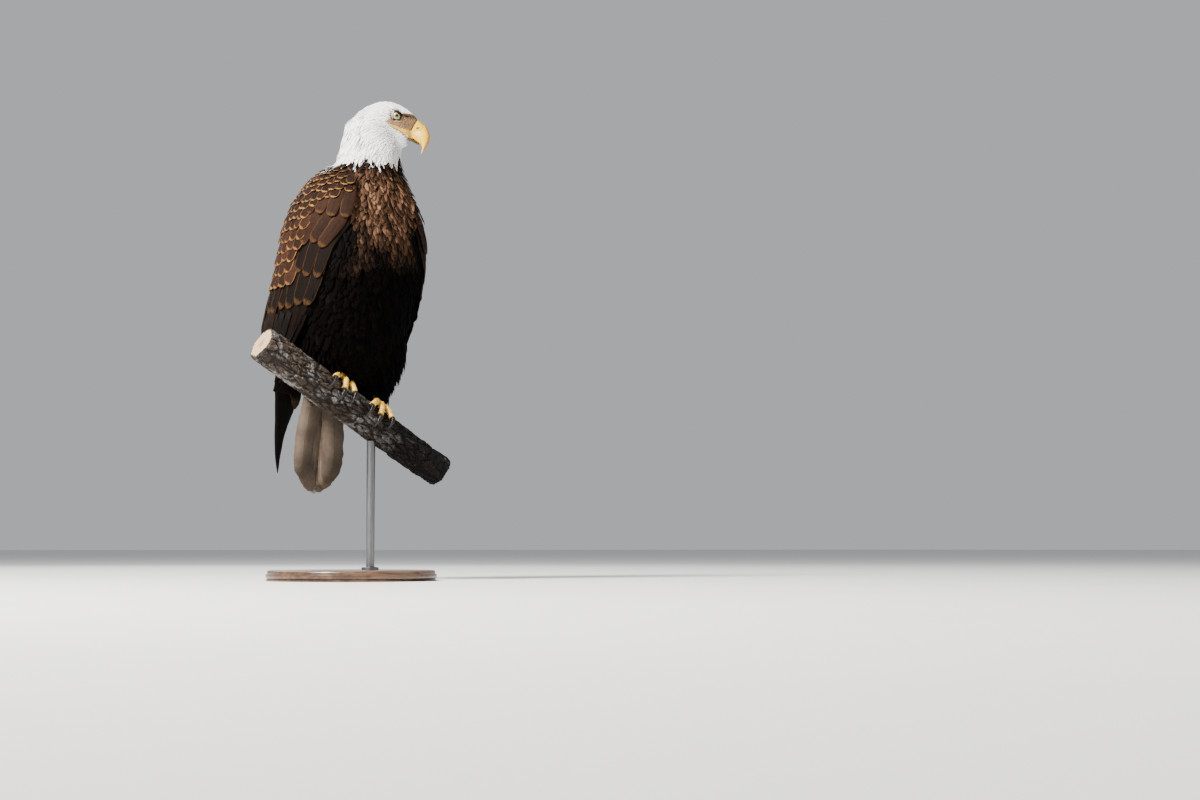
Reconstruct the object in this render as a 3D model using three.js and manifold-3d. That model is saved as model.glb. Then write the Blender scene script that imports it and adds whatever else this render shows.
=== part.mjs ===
// A life-size bald eagle (Haliaeetus leucocephalus) at rest on a cut length of branch,
// held up by a plain display stand: one round base and one rod.
//
// Millimetres, +Z up, origin at the centre of the base's underside. The bird's chest faces -Y,
// its right side is at -X, and its head is turned towards its own left (+X).
import * as THREE from 'three';
import { mergeVertices } from 'three/addons/utils/BufferGeometryUtils.js';
import Module from 'manifold-3d';

const wasm = await Module();
wasm.setup();

// ---------------------------------------------------------------- driving dimensions

const GAP = 0.3; // clearance between two pieces that touch
const PERCH_HEIGHT = 322; // middle of the branch above the floor
const PERCH_RADIUS = 34;
const PERCH_LENGTH = 450;
const PERCH_SLOPE = THREE.MathUtils.degToRad(30.5); // down towards the bird's left
const BASE_RADIUS = 160;
const BASE_THICKNESS = 20;
const BASE_CHAMFER = 3;
const ROD_RADIUS = 8;
const ROD_X = 40;
const TOE_ROOM = 8; // the plumage stops this far above the bark, beside the toes
const FOOT_SPREAD = 54; // each foot's distance along the branch from its middle

const BODY_LEAN = 0.01; // sideways drift of the body's axis per mm of height
const TRUNK_BOTTOM = 340;
const TRUNK_TOP = 782;
const NECK_TOP = 868;
const NECK_BOTTOM = 762;
const NECK_CUT = 776;
const WING_TOP = 772;
const WING_TIP = 201;
const WING_PROUD = 5; // how far a folded wing stands out of the flank
const THIGH_TOP = 505;
const TAIL_TOP = 436;
const TAIL_TIP = 162;
const TAIL_SHIFT = -7;

const HEAD_POINT = new THREE.Vector3(45.9, -78.9, 874.5); // midway between the eyes
const HEAD_YAW = THREE.MathUtils.degToRad(55);
const HEAD_PITCH = THREE.MathUtils.degToRad(26);
const EYE_RADIUS = 11;
const EYE_OFFSET = new THREE.Vector3(1, 19.5, -4); // forward, sideways, up in the head
const HEAD_BACK = -82;
const FACE_END = 37.5; // where the feathered face meets the bill, forward of the eyes

// ---------------------------------------------------------------- small tools

const clamp01 = (value) => Math.min(1, Math.max(0, value));
const mix = (a, b, t) => a + (b - a) * t;

function smoothstep(low, high, value) {
  const t = clamp01((value - low) / (high - low));
  return t * t * (3 - 2 * t);
}

// A smooth function through [position, value] stations, flat beyond both ends.
function profile(...stations) {
  const slopes = stations.map((station, i) => {
    const before = stations[Math.max(0, i - 1)];
    const after = stations[Math.min(stations.length - 1, i + 1)];
    return (after[1] - before[1]) / (after[0] - before[0]);
  });
  return (position) => {
    const last = stations.length - 1;
    if (position <= stations[0][0]) return stations[0][1];
    if (position >= stations[last][0]) return stations[last][1];
    let i = 0;
    while (position > stations[i + 1][0]) i += 1;
    const span = stations[i + 1][0] - stations[i][0];
    const t = (position - stations[i][0]) / span;
    const rest = 1 - t;
    return (
      stations[i][1] * rest * rest * (1 + 2 * t) +
      stations[i + 1][1] * t * t * (3 - 2 * t) +
      slopes[i] * span * t * rest * rest -
      slopes[i + 1] * span * t * t * rest
    );
  };
}

function range(from, to, steps) {
  return Array.from({ length: steps + 1 }, (_, i) => mix(from, to, i / steps));
}

// A closed surface through rings of points, all with the same count, with a fan at each end.
function loft(rings) {
  const count = rings[0].length;
  const positions = rings.flat().flatMap((point) => [point.x, point.y, point.z]);
  const triangles = [];
  for (let r = 0; r + 1 < rings.length; r += 1) {
    for (let i = 0; i < count; i += 1) {
      const a = r * count + i;
      const b = r * count + ((i + 1) % count);
      triangles.push(a, b, b + count, a, b + count, a + count);
    }
  }
  for (const [ring, start, first] of [
    [rings[0], 0, true],
    [rings[rings.length - 1], (rings.length - 1) * count, false],
  ]) {
    const middle = new THREE.Vector3();
    ring.forEach((point) => middle.addScaledVector(point, 1 / count));
    const centre = positions.length / 3;
    positions.push(middle.x, middle.y, middle.z);
    for (let i = 0; i < count; i += 1) {
      const a = start + i;
      const b = start + ((i + 1) % count);
      triangles.push(...(first ? [b, a, centre] : [a, b, centre]));
    }
  }
  const geometry = new THREE.BufferGeometry();
  geometry.setAttribute('position', new THREE.Float32BufferAttribute(positions, 3));
  geometry.setIndex(triangles);
  return geometry;
}

function toSolid(geometry) {
  geometry.deleteAttribute('normal');
  geometry.deleteAttribute('uv');
  const merged = mergeVertices(geometry, 1e-4);
  const vertProperties = new Float32Array(merged.attributes.position.array);
  const triVerts = new Uint32Array(merged.index.array);
  const build = (triangles) =>
    new wasm.Manifold(new wasm.Mesh({ numProp: 3, vertProperties, triVerts: triangles }));
  const solid = build(triVerts);
  if (solid.volume() > 0) return solid;
  const flipped = new Uint32Array(triVerts);
  for (let i = 0; i < flipped.length; i += 3) {
    [flipped[i + 1], flipped[i + 2]] = [flipped[i + 2], flipped[i + 1]];
  }
  return build(flipped);
}

function toGeometry(solid) {
  const mesh = solid.getMesh();
  const positions = [];
  for (let v = 0; v < mesh.numVert; v += 1) {
    positions.push(...mesh.vertProperties.slice(v * mesh.numProp, v * mesh.numProp + 3));
  }
  const geometry = new THREE.BufferGeometry();
  geometry.setAttribute('position', new THREE.Float32BufferAttribute(positions, 3));
  geometry.setIndex(Array.from(mesh.triVerts));
  geometry.computeVertexNormals();
  return geometry;
}

const loftSolid = (rings) => toSolid(loft(rings));

// The part of a solid on the side of a plane that its normal points to, half a gap clear of it.
function keepAbove(solid, point, normal) {
  const direction = normal.clone().normalize();
  return solid.trimByPlane(direction.toArray(), direction.dot(point) + GAP / 2);
}

const keepBelow = (solid, point, normal) => keepAbove(solid, point, normal.clone().negate());

// The one largest body of a solid: slivers left by a cut are dropped.
function largest(solid) {
  return solid.decompose().reduce((best, body) => (body.volume() > best.volume() ? body : best));
}

// A closed tube along a curve, with a radius that changes along it.
function taperedTube(curve, radiusAt, steps, sides, flatten = 1) {
  const frames = curve.computeFrenetFrames(steps, false);
  const rings = range(0, 1, steps).map((t, step) => {
    const centre = curve.getPointAt(t);
    const radius = radiusAt(t);
    return range(0, 2 * Math.PI, sides)
      .slice(0, sides)
      .map((angle) =>
        centre
          .clone()
          .addScaledVector(frames.normals[step], radius * Math.cos(angle))
          .addScaledVector(frames.binormals[step], radius * flatten * Math.sin(angle)),
      );
  });
  return loftSolid(rings);
}

// ---------------------------------------------------------------- the body's axis and outline

const axisX = (z) => BODY_LEAN * (z - PERCH_HEIGHT);
const axisY = profile([340, 62], [372, 60], [433, 48], [530, 24], [625, 0], [715, -19], [782, -33]);

const trunkHalfWidth = profile(
  [340, 52], [372, 80], [392, 92], [433, 109], [530, 127],
  [600, 130], [655, 125], [715, 103], [758, 76], [782, 62],
);
const trunkFront = profile(
  [340, 60], [372, 80], [392, 94], [433, 113], [530, 126],
  [600, 124], [655, 115], [715, 93], [758, 70], [782, 61],
);
const trunkBack = profile(
  [340, 20], [372, 42], [392, 64], [433, 88], [530, 115],
  [600, 124], [655, 120], [715, 102], [758, 76], [782, 62],
);

// A point of a rounded-square outline. The angle runs from the front (-Y) round to the back.
function outlinePoint(z, angle, side, halfWidth, front, back, roundness) {
  const power = (value, exponent) => Math.sign(value) * Math.abs(value) ** exponent;
  const across = power(Math.sin(angle), roundness);
  const along = power(Math.cos(angle), roundness);
  const depth = along > 0 ? front : back;
  return new THREE.Vector3(axisX(z) + side * halfWidth * across, axisY(z) - depth * along, z);
}

// The breast is round and the back between the wings is flatter.
const squareness = (angle) => mix(0.9, 0.76, smoothstep(0.2, 0.9, -Math.cos(angle)));

function trunkSolid() {
  const sides = 18;
  const rings = range(TRUNK_BOTTOM, TRUNK_TOP, 12).map((z) =>
    range(0, 2 * Math.PI, sides)
      .slice(0, sides)
      .map((angle) =>
        outlinePoint(z, angle, 1, trunkHalfWidth(z), trunkFront(z), trunkBack(z), squareness(angle)),
      ),
  );
  return loftSolid(rings);
}

// ---------------------------------------------------------------- neck and head

const headForward = new THREE.Vector3(
  Math.sin(HEAD_YAW) * Math.cos(HEAD_PITCH),
  -Math.cos(HEAD_YAW) * Math.cos(HEAD_PITCH),
  -Math.sin(HEAD_PITCH),
);
const headLeft = new THREE.Vector3(Math.cos(HEAD_YAW), Math.sin(HEAD_YAW), 0);
const headUp = headForward.clone().cross(headLeft);

// A point given by its distance forward, to the left and up from the middle of the head.
function inHead(forward, left, up) {
  return HEAD_POINT.clone()
    .addScaledVector(headForward, forward)
    .addScaledVector(headLeft, left)
    .addScaledVector(headUp, up);
}

const crownHeight = profile(
  [HEAD_BACK, -60], [-77, -48], [-71, -35], [-65, -20], [-58, -9],
  [-50, 2], [-40, 11], [-30, 17], [-13, 21],
  [6, 20.5], [20, 18], [FACE_END, 11.5],
);
const throatHeight = profile(
  [HEAD_BACK, -68], [-72, -80], [-40, -80], [-10, -72], [15, -64], [30, -56], [FACE_END, -48],
);
const headHalfWidth = profile(
  [HEAD_BACK, 10], [-74, 25], [-55, 38], [-25, 38], [0, 32.5], [20, 23], [FACE_END, 14.5],
);
const CHIN_POINT = [34.5, 0, -41]; // forward, sideways and up in the head
const CHIN_REACH = [8.5, 11, 7];

function headSolid() {
  const sides = 16;
  const rings = range(HEAD_BACK, FACE_END, 11).map((forward) => {
    const top = crownHeight(forward);
    const bottom = throatHeight(forward);
    const middle = mix(bottom, top, 0.55);
    return range(0, 2 * Math.PI, sides)
      .slice(0, sides)
      .map((angle) => {
        const rise = Math.cos(angle);
        const reach = rise > 0 ? top - middle : middle - bottom;
        const width = headHalfWidth(forward) * Math.sign(Math.sin(angle)) * Math.abs(Math.sin(angle)) ** 0.85;
        return inHead(forward, width, middle + reach * rise);
      });
  });
  return loftSolid(rings).add(headBall(CHIN_POINT, CHIN_REACH));
}

// A ball stretched along the head's own axes.
function headBall([forward, left, up], reach) {
  const ball = new THREE.SphereGeometry(1, 10, 7);
  ball.scale(...reach);
  ball.applyMatrix4(new THREE.Matrix4().makeBasis(headForward, headLeft, headUp));
  const centre = inHead(forward, left, up);
  ball.translate(centre.x, centre.y, centre.z);
  return toSolid(ball);
}

const neckX = profile([NECK_BOTTOM, 8], [820, 10], [NECK_TOP, 8]);
const neckY = profile([NECK_BOTTOM, -30], [820, -41], [NECK_TOP, -46]);
const neckRadius = profile([NECK_BOTTOM, 66], [785, 63], [820, 58], [845, 52], [NECK_TOP, 42]);

function neckSolid() {
  const sides = 20;
  const rings = range(NECK_BOTTOM, NECK_TOP, 5).map((z) =>
    range(0, 2 * Math.PI, sides)
      .slice(0, sides)
      .map(
        (angle) =>
          new THREE.Vector3(
            neckX(z) + neckRadius(z) * Math.sin(angle),
            neckY(z) - neckRadius(z) * Math.cos(angle),
            z,
          ),
      ),
  );
  return loftSolid(rings);
}

function eyeSolid(side, grow = 0) {
  const centre = inHead(EYE_OFFSET.x, side * EYE_OFFSET.y, EYE_OFFSET.z);
  const sphere = new THREE.SphereGeometry(EYE_RADIUS + grow, 10, 7);
  sphere.translate(centre.x, centre.y, centre.z);
  return toSolid(sphere);
}

// The hollow that an eye looks out of, under the brow ridge.
function orbitSolid(side) {
  const middle = [EYE_OFFSET.x + 2, side * (EYE_OFFSET.y + 14.5), EYE_OFFSET.z - 0.5];
  return headBall(middle, [11.5, 11, 9.5]);
}

// Ridge and cutting edge of the upper bill, as distances forward of and above the eyes.
const billLine = (...stations) =>
  new THREE.CatmullRomCurve3(stations.map(([forward, up]) => new THREE.Vector3(forward, 0, up)));
const BILL_START = FACE_END + GAP;
const culmen = billLine(
  [BILL_START, 11], [49, 9.5], [63, 2.6], [72, -7.4], [75.8, -20.5], [74.2, -36], [71, -47.2],
);
const tomium = billLine(
  [BILL_START, -26.6], [46, -28.4], [57, -29.8], [65, -30.8], [68.8, -35.5], [70.6, -47],
);
const billHalfWidth = profile([0, 14], [0.2, 12.4], [0.5, 9.4], [0.75, 6], [0.92, 2.6], [1, 0.8]);

function billRing(top, bottom, halfWidth, keel) {
  const sides = 12;
  return range(0, 2 * Math.PI, sides)
    .slice(0, sides)
    .map((angle) => {
      const rise = 0.5 + 0.5 * Math.cos(angle);
      const width = halfWidth * Math.sin(angle) * mix(1.12, keel, rise);
      return inHead(mix(bottom.x, top.x, rise), width, mix(bottom.z, top.z, rise));
    });
}

function upperBillSolid() {
  return loftSolid(
    range(0, 1, 10).map((t) =>
      billRing(culmen.getPoint(t), tomium.getPoint(t), billHalfWidth(t), 0.86),
    ),
  );
}

const lowerBillTop = billLine([BILL_START, -27.4], [48, -29.6], [57, -30.8], [62, -31.6]);
const lowerBillKeel = billLine([BILL_START, -33.2], [48, -33.6], [57, -33.9], [61.5, -32.6]);
const lowerBillHalfWidth = profile([0, 11.2], [0.4, 9], [0.8, 6], [1, 3]);

function lowerBillSolid() {
  return loftSolid(
    range(0, 1, 6).map((t) =>
      billRing(lowerBillTop.getPoint(t), lowerBillKeel.getPoint(t), lowerBillHalfWidth(t), 1.05),
    ),
  );
}

// ---------------------------------------------------------------- wings

const wingHalfWidth = profile(
  [372, 106], [400, 116], [433, 125], [530, 130], [600, 132],
  [655, 129], [690, 123], [722, 111], [750, 93], [772, 66],
);
const wingFront = profile([372, 100], [530, 128], [600, 126], [655, 118], [715, 95], [772, 62]);
const wingBack = profile(
  [372, 88], [433, 102], [530, 124], [600, 134], [655, 130], [715, 110], [750, 88], [772, 66],
);
const wingThickness = profile(
  [WING_TIP, 3], [300, 6], [380, 10], [440, 18], [520, 25], [640, 28], [WING_TOP, 24],
);

// Angles of the folded wing's two edges round the body, from the middle of the breast.
const wingFrontEdge = profile(
  [380, 118], [400, 106], [433, 80], [505, 61], [572, 52],
  [625, 46], [655, 34], [715, 31], [752, 40], [WING_TOP, 62],
);
const wingRearEdge = profile(
  [380, 166], [433, 168], [560, 164], [660, 158], [725, 150], [752, 140], [WING_TOP, 118],
);

// Below the trunk the wing is a flat blade of primaries behind the tail.
const bladeShift = profile([372, -14], [433, 0]);
const bladeSwing = profile([WING_TIP, -22], [310, -22], [372, -14]);
const bladeOuter = profile([WING_TIP, 58], [250, 66], [310, 73], [350, 86], [400, 106], [433, 122]);
const bladeInner = profile([WING_TIP, 52], [235, 44], [280, 32], [310, 20], [433, 22]);
const bladeOuterY = profile([WING_TIP, 148], [300, 138], [380, 116], [433, 96]);
const bladeInnerY = profile([WING_TIP, 152], [300, 153], [380, 151], [433, 150]);

const SHOULDER_LIFT = { right: 4, left: -24 };
const SIDES = { right: -1, left: 1 };

// The lower part of the near wing hangs a little away from the rump, outwards and back.
const wingFlare = profile([378, 0], [405, 17], [440, 25], [500, 19], [560, 6], [600, 0]);
const FLARE_SHARE = { right: 1, left: 0.2 };
const FLARE_WAY = [0.866, 0.5]; // outwards and back

function wingSection(z, name, grow) {
  const side = SIDES[name];
  const arcSteps = 7;
  const lift = SHOULDER_LIFT[name] * smoothstep(430, 700, z);
  const blade = 1 - smoothstep(370, 425, z);
  const shift = z < 372 ? bladeSwing(z) : bladeShift(z);
  const frontAngle = THREE.MathUtils.degToRad(wingFrontEdge(z) - grow);
  const rearAngle = THREE.MathUtils.degToRad(wingRearEdge(z) + grow);
  const pointAt = (t, depth) => {
    const edgeTaper = 1 - 0.7 * Math.abs(2 * t - 1) ** 4;
    const inward = depth * (wingThickness(z) * edgeTaper + grow) - (1 - depth) * grow;
    const onBody = outlinePoint(
      z,
      mix(frontAngle, rearAngle, t),
      side,
      wingHalfWidth(z) + WING_PROUD - inward,
      wingFront(z) + WING_PROUD - inward,
      wingBack(z) + WING_PROUD - inward,
      mix(0.9, 0.72, smoothstep(0.35, 0.75, t)),
    );
    const onBlade = new THREE.Vector3(
      axisX(z) + shift + side * (mix(bladeOuter(z) + grow, bladeInner(z) - grow, t)),
      mix(bladeOuterY(z), bladeInnerY(z), t) - inward + wingThickness(z) / 2,
      z,
    );
    const flare = FLARE_SHARE[name] * wingFlare(z) * smoothstep(0.1, 0.6, t);
    onBody.add(new THREE.Vector3(side * FLARE_WAY[0] * flare, FLARE_WAY[1] * flare, 0));
    return onBody.lerp(onBlade, blade).setZ(z + lift);
  };
  const outer = range(0, 1, arcSteps).map((t) => pointAt(t, 0));
  const inner = range(1, 0, arcSteps).map((t) => pointAt(t, 1));
  return [...outer, ...inner];
}

function wingSolid(name, grow = 0) {
  const levels = [
    ...range(WING_TIP, 400, 5),
    ...range(430, WING_TOP - 20, 7),
    WING_TOP - 8,
    WING_TOP,
  ];
  return loftSolid(levels.map((z) => wingSection(z, name, grow)));
}

// ---------------------------------------------------------------- tail

const tailHalfWidth = profile(
  [TAIL_TIP, 17], [166, 26], [176, 40], [196, 50], [260, 51], [340, 47], [TAIL_TOP, 34],
);
const tailY = profile([TAIL_TIP, 130], [254, 119], [340, 108], [TAIL_TOP, 88]);
const tailThickness = profile([TAIL_TIP, 3], [200, 6], [300, 10], [380, 20], [TAIL_TOP, 30]);

function tailSolid(grow = 0) {
  const arcSteps = 6;
  const rings = range(TAIL_TIP, TAIL_TOP, 9).map((z) => {
    const pointAt = (t, face) => {
      const across = 2 * t - 1;
      const arch = 7 * across * across;
      const half = (tailThickness(z) / 2) * Math.sqrt(1 - 0.85 * across ** 4) + grow;
      return new THREE.Vector3(
        axisX(z) + TAIL_SHIFT + (tailHalfWidth(z) + grow) * across,
        tailY(z) - arch + face * half,
        z,
      );
    };
    const back = range(0, 1, arcSteps).map((t) => pointAt(t, 1));
    const front = range(1, 0, arcSteps).map((t) => pointAt(t, -1));
    return [...back, ...front];
  });
  return loftSolid(rings);
}

// ---------------------------------------------------------------- branch, legs and feet

const branchAxis = new THREE.Vector3(Math.cos(PERCH_SLOPE), 0, -Math.sin(PERCH_SLOPE));
const branchUp = new THREE.Vector3(Math.sin(PERCH_SLOPE), 0, Math.cos(PERCH_SLOPE));
const branchMiddle = new THREE.Vector3(0, 0, PERCH_HEIGHT);

// A point beside the branch: distance along it, distance from its axis, and the angle
// from its upper side, positive towards the bird's back.
function roundBranch(along, distance, degrees) {
  const angle = THREE.MathUtils.degToRad(degrees);
  return branchMiddle
    .clone()
    .addScaledVector(branchAxis, along)
    .addScaledVector(branchUp, distance * Math.cos(angle))
    .add(new THREE.Vector3(0, distance * Math.sin(angle), 0));
}

function branchSolid(grow = 0) {
  const sides = 20;
  const half = PERCH_LENGTH / 2;
  const rings = range(-half, half, 4).map((along) =>
    range(0, 360, sides)
      .slice(0, sides)
      .map((degrees) => {
        const taper = mix(1.03, 0.97, (along + half) / PERCH_LENGTH);
        return roundBranch(along, PERCH_RADIUS * taper + grow, degrees);
      }),
  );
  return loftSolid(rings);
}

const DEGREES_PER_MM = 180 / Math.PI / (PERCH_RADIUS + 5); // one mm along a toe, seen from the axis
const footAlong = { right: -FOOT_SPREAD, left: FOOT_SPREAD - 14 };

// Toes: spread along the branch at the tip, how far round the branch the toe and claw reach,
// and the toe's radius where it starts.
const TOES = {
  inner: { spread: 25, start: 9, toeEnd: -62, clawEnd: -112, radius: 8 },
  middle: { spread: 2, start: 9, toeEnd: -74, clawEnd: -122, radius: 8 },
  outer: { spread: -24, start: 9, toeEnd: -58, clawEnd: -100, radius: 7.5 },
  hallux: { spread: 6, start: -9, toeEnd: 62, clawEnd: 122, radius: 8.5 },
};

function toeSolid(name, toe, grow) {
  const inward = name === 'right' ? 1 : -1;
  const turn = Math.sign(toe.toeEnd);
  const points = range(0, 1, 5).map((t) =>
    roundBranch(
      footAlong[name] + inward * toe.spread * t,
      PERCH_RADIUS + 6 - 1.5 * t,
      mix(toe.start, toe.toeEnd + turn * DEGREES_PER_MM * grow, t),
    ),
  );
  const radius = (t) => mix(toe.radius, 5.6, t) + 0.5 * Math.cos(6 * Math.PI * t) + grow;
  return taperedTube(new THREE.CatmullRomCurve3(points), radius, 5, 7);
}

function clawSolid(name, toe, grow = 0) {
  const inward = name === 'right' ? 1 : -1;
  const points = range(0, 1, 5).map((t) =>
    roundBranch(
      footAlong[name] + inward * toe.spread * (1 + 0.08 * t),
      PERCH_RADIUS + 4.5 + 9 * Math.sin(Math.PI * t ** 0.8) * (1 - 0.45 * t) - 2.5 * t,
      mix(toe.toeEnd, toe.clawEnd, t),
    ),
  );
  const curve = new THREE.CatmullRomCurve3(points);
  return taperedTube(curve, (t) => 4.6 * (1 - t) ** 0.75 + 0.5 + grow, 4, 6);
}

const ankle = { right: new THREE.Vector3(-48, 34, 448), left: new THREE.Vector3(44, 30, 402) };

function shankSolid(name, grow = 0) {
  const sole = roundBranch(footAlong[name], PERCH_RADIUS + 7, 0);
  const along = ankle[name].clone().sub(sole).normalize();
  const shank = new THREE.CatmullRomCurve3([
    sole.clone().addScaledVector(along, -2 * grow),
    sole.clone().lerp(ankle[name], 0.5).add(new THREE.Vector3(0, -3, 0)),
    ankle[name].clone().addScaledVector(along, 2 * grow),
  ]);
  return taperedTube(shank, (t) => mix(11, 9.5, smoothstep(0, 0.4, t)) + 2 * grow, 3, 10);
}

function footSolid(name, grow = 0) {
  let foot = shankSolid(name, grow);
  for (const toe of Object.values(TOES)) foot = foot.add(toeSolid(name, toe, grow));
  return foot.subtract(branchSolid(GAP));
}

// The feathered thigh: a soft cone from the flank down to just above the toes.
function thighSolid(name, grow = 0) {
  const side = SIDES[name];
  const sole = roundBranch(footAlong[name], PERCH_RADIUS, 0);
  const top = new THREE.Vector3(axisX(THIGH_TOP) + side * 58, 2, THIGH_TOP + grow);
  const bottom = sole.clone().add(new THREE.Vector3(side * 2, 2, 17 - grow));
  const curve = new THREE.CatmullRomCurve3([
    top,
    new THREE.Vector3(mix(top.x, bottom.x, 0.45) + side * 8, -6, mix(top.z, bottom.z, 0.45)),
    bottom,
  ]);
  const radius = profile([0, 44], [0.35, 47], [0.7, 34], [0.92, 22], [1, 15]);
  return taperedTube(curve, (t) => radius(t) + grow, 6, 12);
}

// ---------------------------------------------------------------- stand

function baseSolid() {
  const outline = [
    [0, 0],
    [BASE_RADIUS - BASE_CHAMFER / 3, 0],
    [BASE_RADIUS, BASE_CHAMFER / 3],
    [BASE_RADIUS, BASE_THICKNESS - BASE_CHAMFER],
    [BASE_RADIUS - BASE_CHAMFER, BASE_THICKNESS],
    [0, BASE_THICKNESS],
  ].map(([radius, height]) => new THREE.Vector2(radius, height));
  return toSolid(new THREE.LatheGeometry(outline, 32).rotateX(Math.PI / 2));
}

function rodSolid() {
  const height = PERCH_HEIGHT - BASE_THICKNESS;
  const rod = new THREE.CylinderGeometry(ROD_RADIUS, ROD_RADIUS, height, 20);
  rod.rotateX(Math.PI / 2);
  rod.translate(ROD_X, 0, BASE_THICKNESS + GAP + height / 2);
  return largest(keepRodBelowBranch(toSolid(rod)));
}

// The rod ends in a saddle that fits the branch's underside.
function keepRodBelowBranch(rod) {
  const middle = roundBranch(ROD_X / Math.cos(PERCH_SLOPE), 0, 0);
  const belowMiddle = rod.trimByPlane(branchUp.clone().negate().toArray(), -branchUp.dot(middle));
  return belowMiddle.subtract(branchSolid(GAP));
}

// ---------------------------------------------------------------- parting the whole bird

const solids = {};

const neckCutPoint = new THREE.Vector3(neckX(NECK_CUT), neckY(NECK_CUT), NECK_CUT);
const neckCutNormal = new THREE.Vector3(0.05, -0.12, 1);
const headCutPoint = inHead(-20, 0, -52);
const headCutNormal = new THREE.Vector3(0.12, -0.1, 1).normalize();

const wingCuts = [
  { height: 505, tilt: new THREE.Vector3(0, 0.45, 1) },
  { height: 372, tilt: new THREE.Vector3(0, 0.25, 1) },
];

// Head, neck and trunk are one body, hollowed for what lies against it and then parted by two cuts.
const perchRoom = branchSolid(GAP);
const plumageRoom = branchSolid(TOE_ROOM);
let body = trunkSolid().add(neckSolid()).add(headSolid());
body = body.subtract(plumageRoom).subtract(tailSolid(GAP));

for (const name of ['right', 'left']) {
  const side = SIDES[name];
  const wing = wingSolid(name).subtract(tailSolid(GAP));
  const thigh = thighSolid(name).subtract(plumageRoom).subtract(wingSolid(name, GAP));
  body = body.subtract(wingSolid(name, GAP)).subtract(thighSolid(name, 1.5 * GAP));
  body = body.subtract(orbitSolid(side)).subtract(eyeSolid(side, GAP));

  const footRoom = footSolid(name, GAP);
  let legRoom = footSolid(name, 5 * GAP);
  for (const toe of Object.values(TOES)) legRoom = legRoom.add(clawSolid(name, toe, 3 * GAP));
  solids[`eye_${name}`] = eyeSolid(side);
  solids[`foot_${name}`] = footSolid(name);
  solids[`thigh_${name}`] = largest(thigh.subtract(legRoom));
  body = body.subtract(legRoom);
  for (const [toeName, toe] of Object.entries(TOES)) {
    solids[`claw_${name}_${toeName}`] = largest(clawSolid(name, toe).subtract(perchRoom).subtract(footRoom));
  }
  const [upperCut, lowerCut] = wingCuts.map(({ height, tilt }) => ({
    point: new THREE.Vector3(side * 100, 60, height),
    normal: tilt,
  }));
  const below = keepBelow(wing, upperCut.point, upperCut.normal);
  solids[`wing_${name}_coverts`] = largest(keepAbove(wing, upperCut.point, upperCut.normal));
  solids[`wing_${name}_secondaries`] = largest(keepAbove(below, lowerCut.point, lowerCut.normal));
  solids[`wing_${name}_primaries`] = largest(keepBelow(below, lowerCut.point, lowerCut.normal));
}

solids.head = largest(keepAbove(body, headCutPoint, headCutNormal));
solids.neck = largest(
  keepBelow(keepAbove(body, neckCutPoint, neckCutNormal), headCutPoint, headCutNormal),
);
solids.trunk = largest(keepBelow(body, neckCutPoint, neckCutNormal));
solids.bill_upper = upperBillSolid();
solids.bill_lower = lowerBillSolid();
solids.tail = tailSolid();
solids.perch_branch = branchSolid();
solids.stand_base = baseSolid();
solids.stand_rod = rodSolid();

// ---------------------------------------------------------------- materials and scene

const MATERIALS = {
  white: { color: 0xe9e5dd, roughness: 0.85 },
  brown: { color: 0x4a3323, roughness: 0.85 },
  dark: { color: 0x241a15, roughness: 0.8 },
  bill: { color: 0xe8b23c, roughness: 0.4 },
  eye: { color: 0xd8cf9a, roughness: 0.1 },
  scute: { color: 0xd9a52a, roughness: 0.55 },
  claw: { color: 0x17130f, roughness: 0.3 },
  bark: { color: 0x5c5148, roughness: 0.95 },
  board: { color: 0x3a2c22, roughness: 0.5 },
  steel: { color: 0x55585c, roughness: 0.35, metalness: 0.9 },
};

function materialFor(name) {
  if (['head', 'neck', 'tail'].includes(name)) return MATERIALS.white;
  if (name.startsWith('bill')) return MATERIALS.bill;
  if (name.startsWith('eye')) return MATERIALS.eye;
  if (name.startsWith('foot')) return MATERIALS.scute;
  if (name.startsWith('claw')) return MATERIALS.claw;
  if (name.endsWith('primaries') || name.endsWith('secondaries')) return MATERIALS.dark;
  if (name === 'perch_branch') return MATERIALS.bark;
  if (name === 'stand_base') return MATERIALS.board;
  if (name === 'stand_rod') return MATERIALS.steel;
  return MATERIALS.brown;
}

const group = new THREE.Group();
for (const [name, solid] of Object.entries(solids)) {
  const mesh = new THREE.Mesh(toGeometry(solid), new THREE.MeshStandardMaterial(materialFor(name)));
  mesh.name = name;
  group.add(mesh);
}

export default group;
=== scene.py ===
"""A still, life-size bald eagle on its perch and display stand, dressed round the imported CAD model.

Lengths are in metres unless a name ends in _MM. The breast faces -Y, the right side -X, and the head
is turned towards +X. Feathers are closed vanes of mesh that lie over one skin.
"""

import math
from itertools import product

import bmesh
import bpy
import numpy as np
from mathutils import Matrix, Vector
from mathutils.bvhtree import BVHTree
from mathutils.kdtree import KDTree


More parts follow.
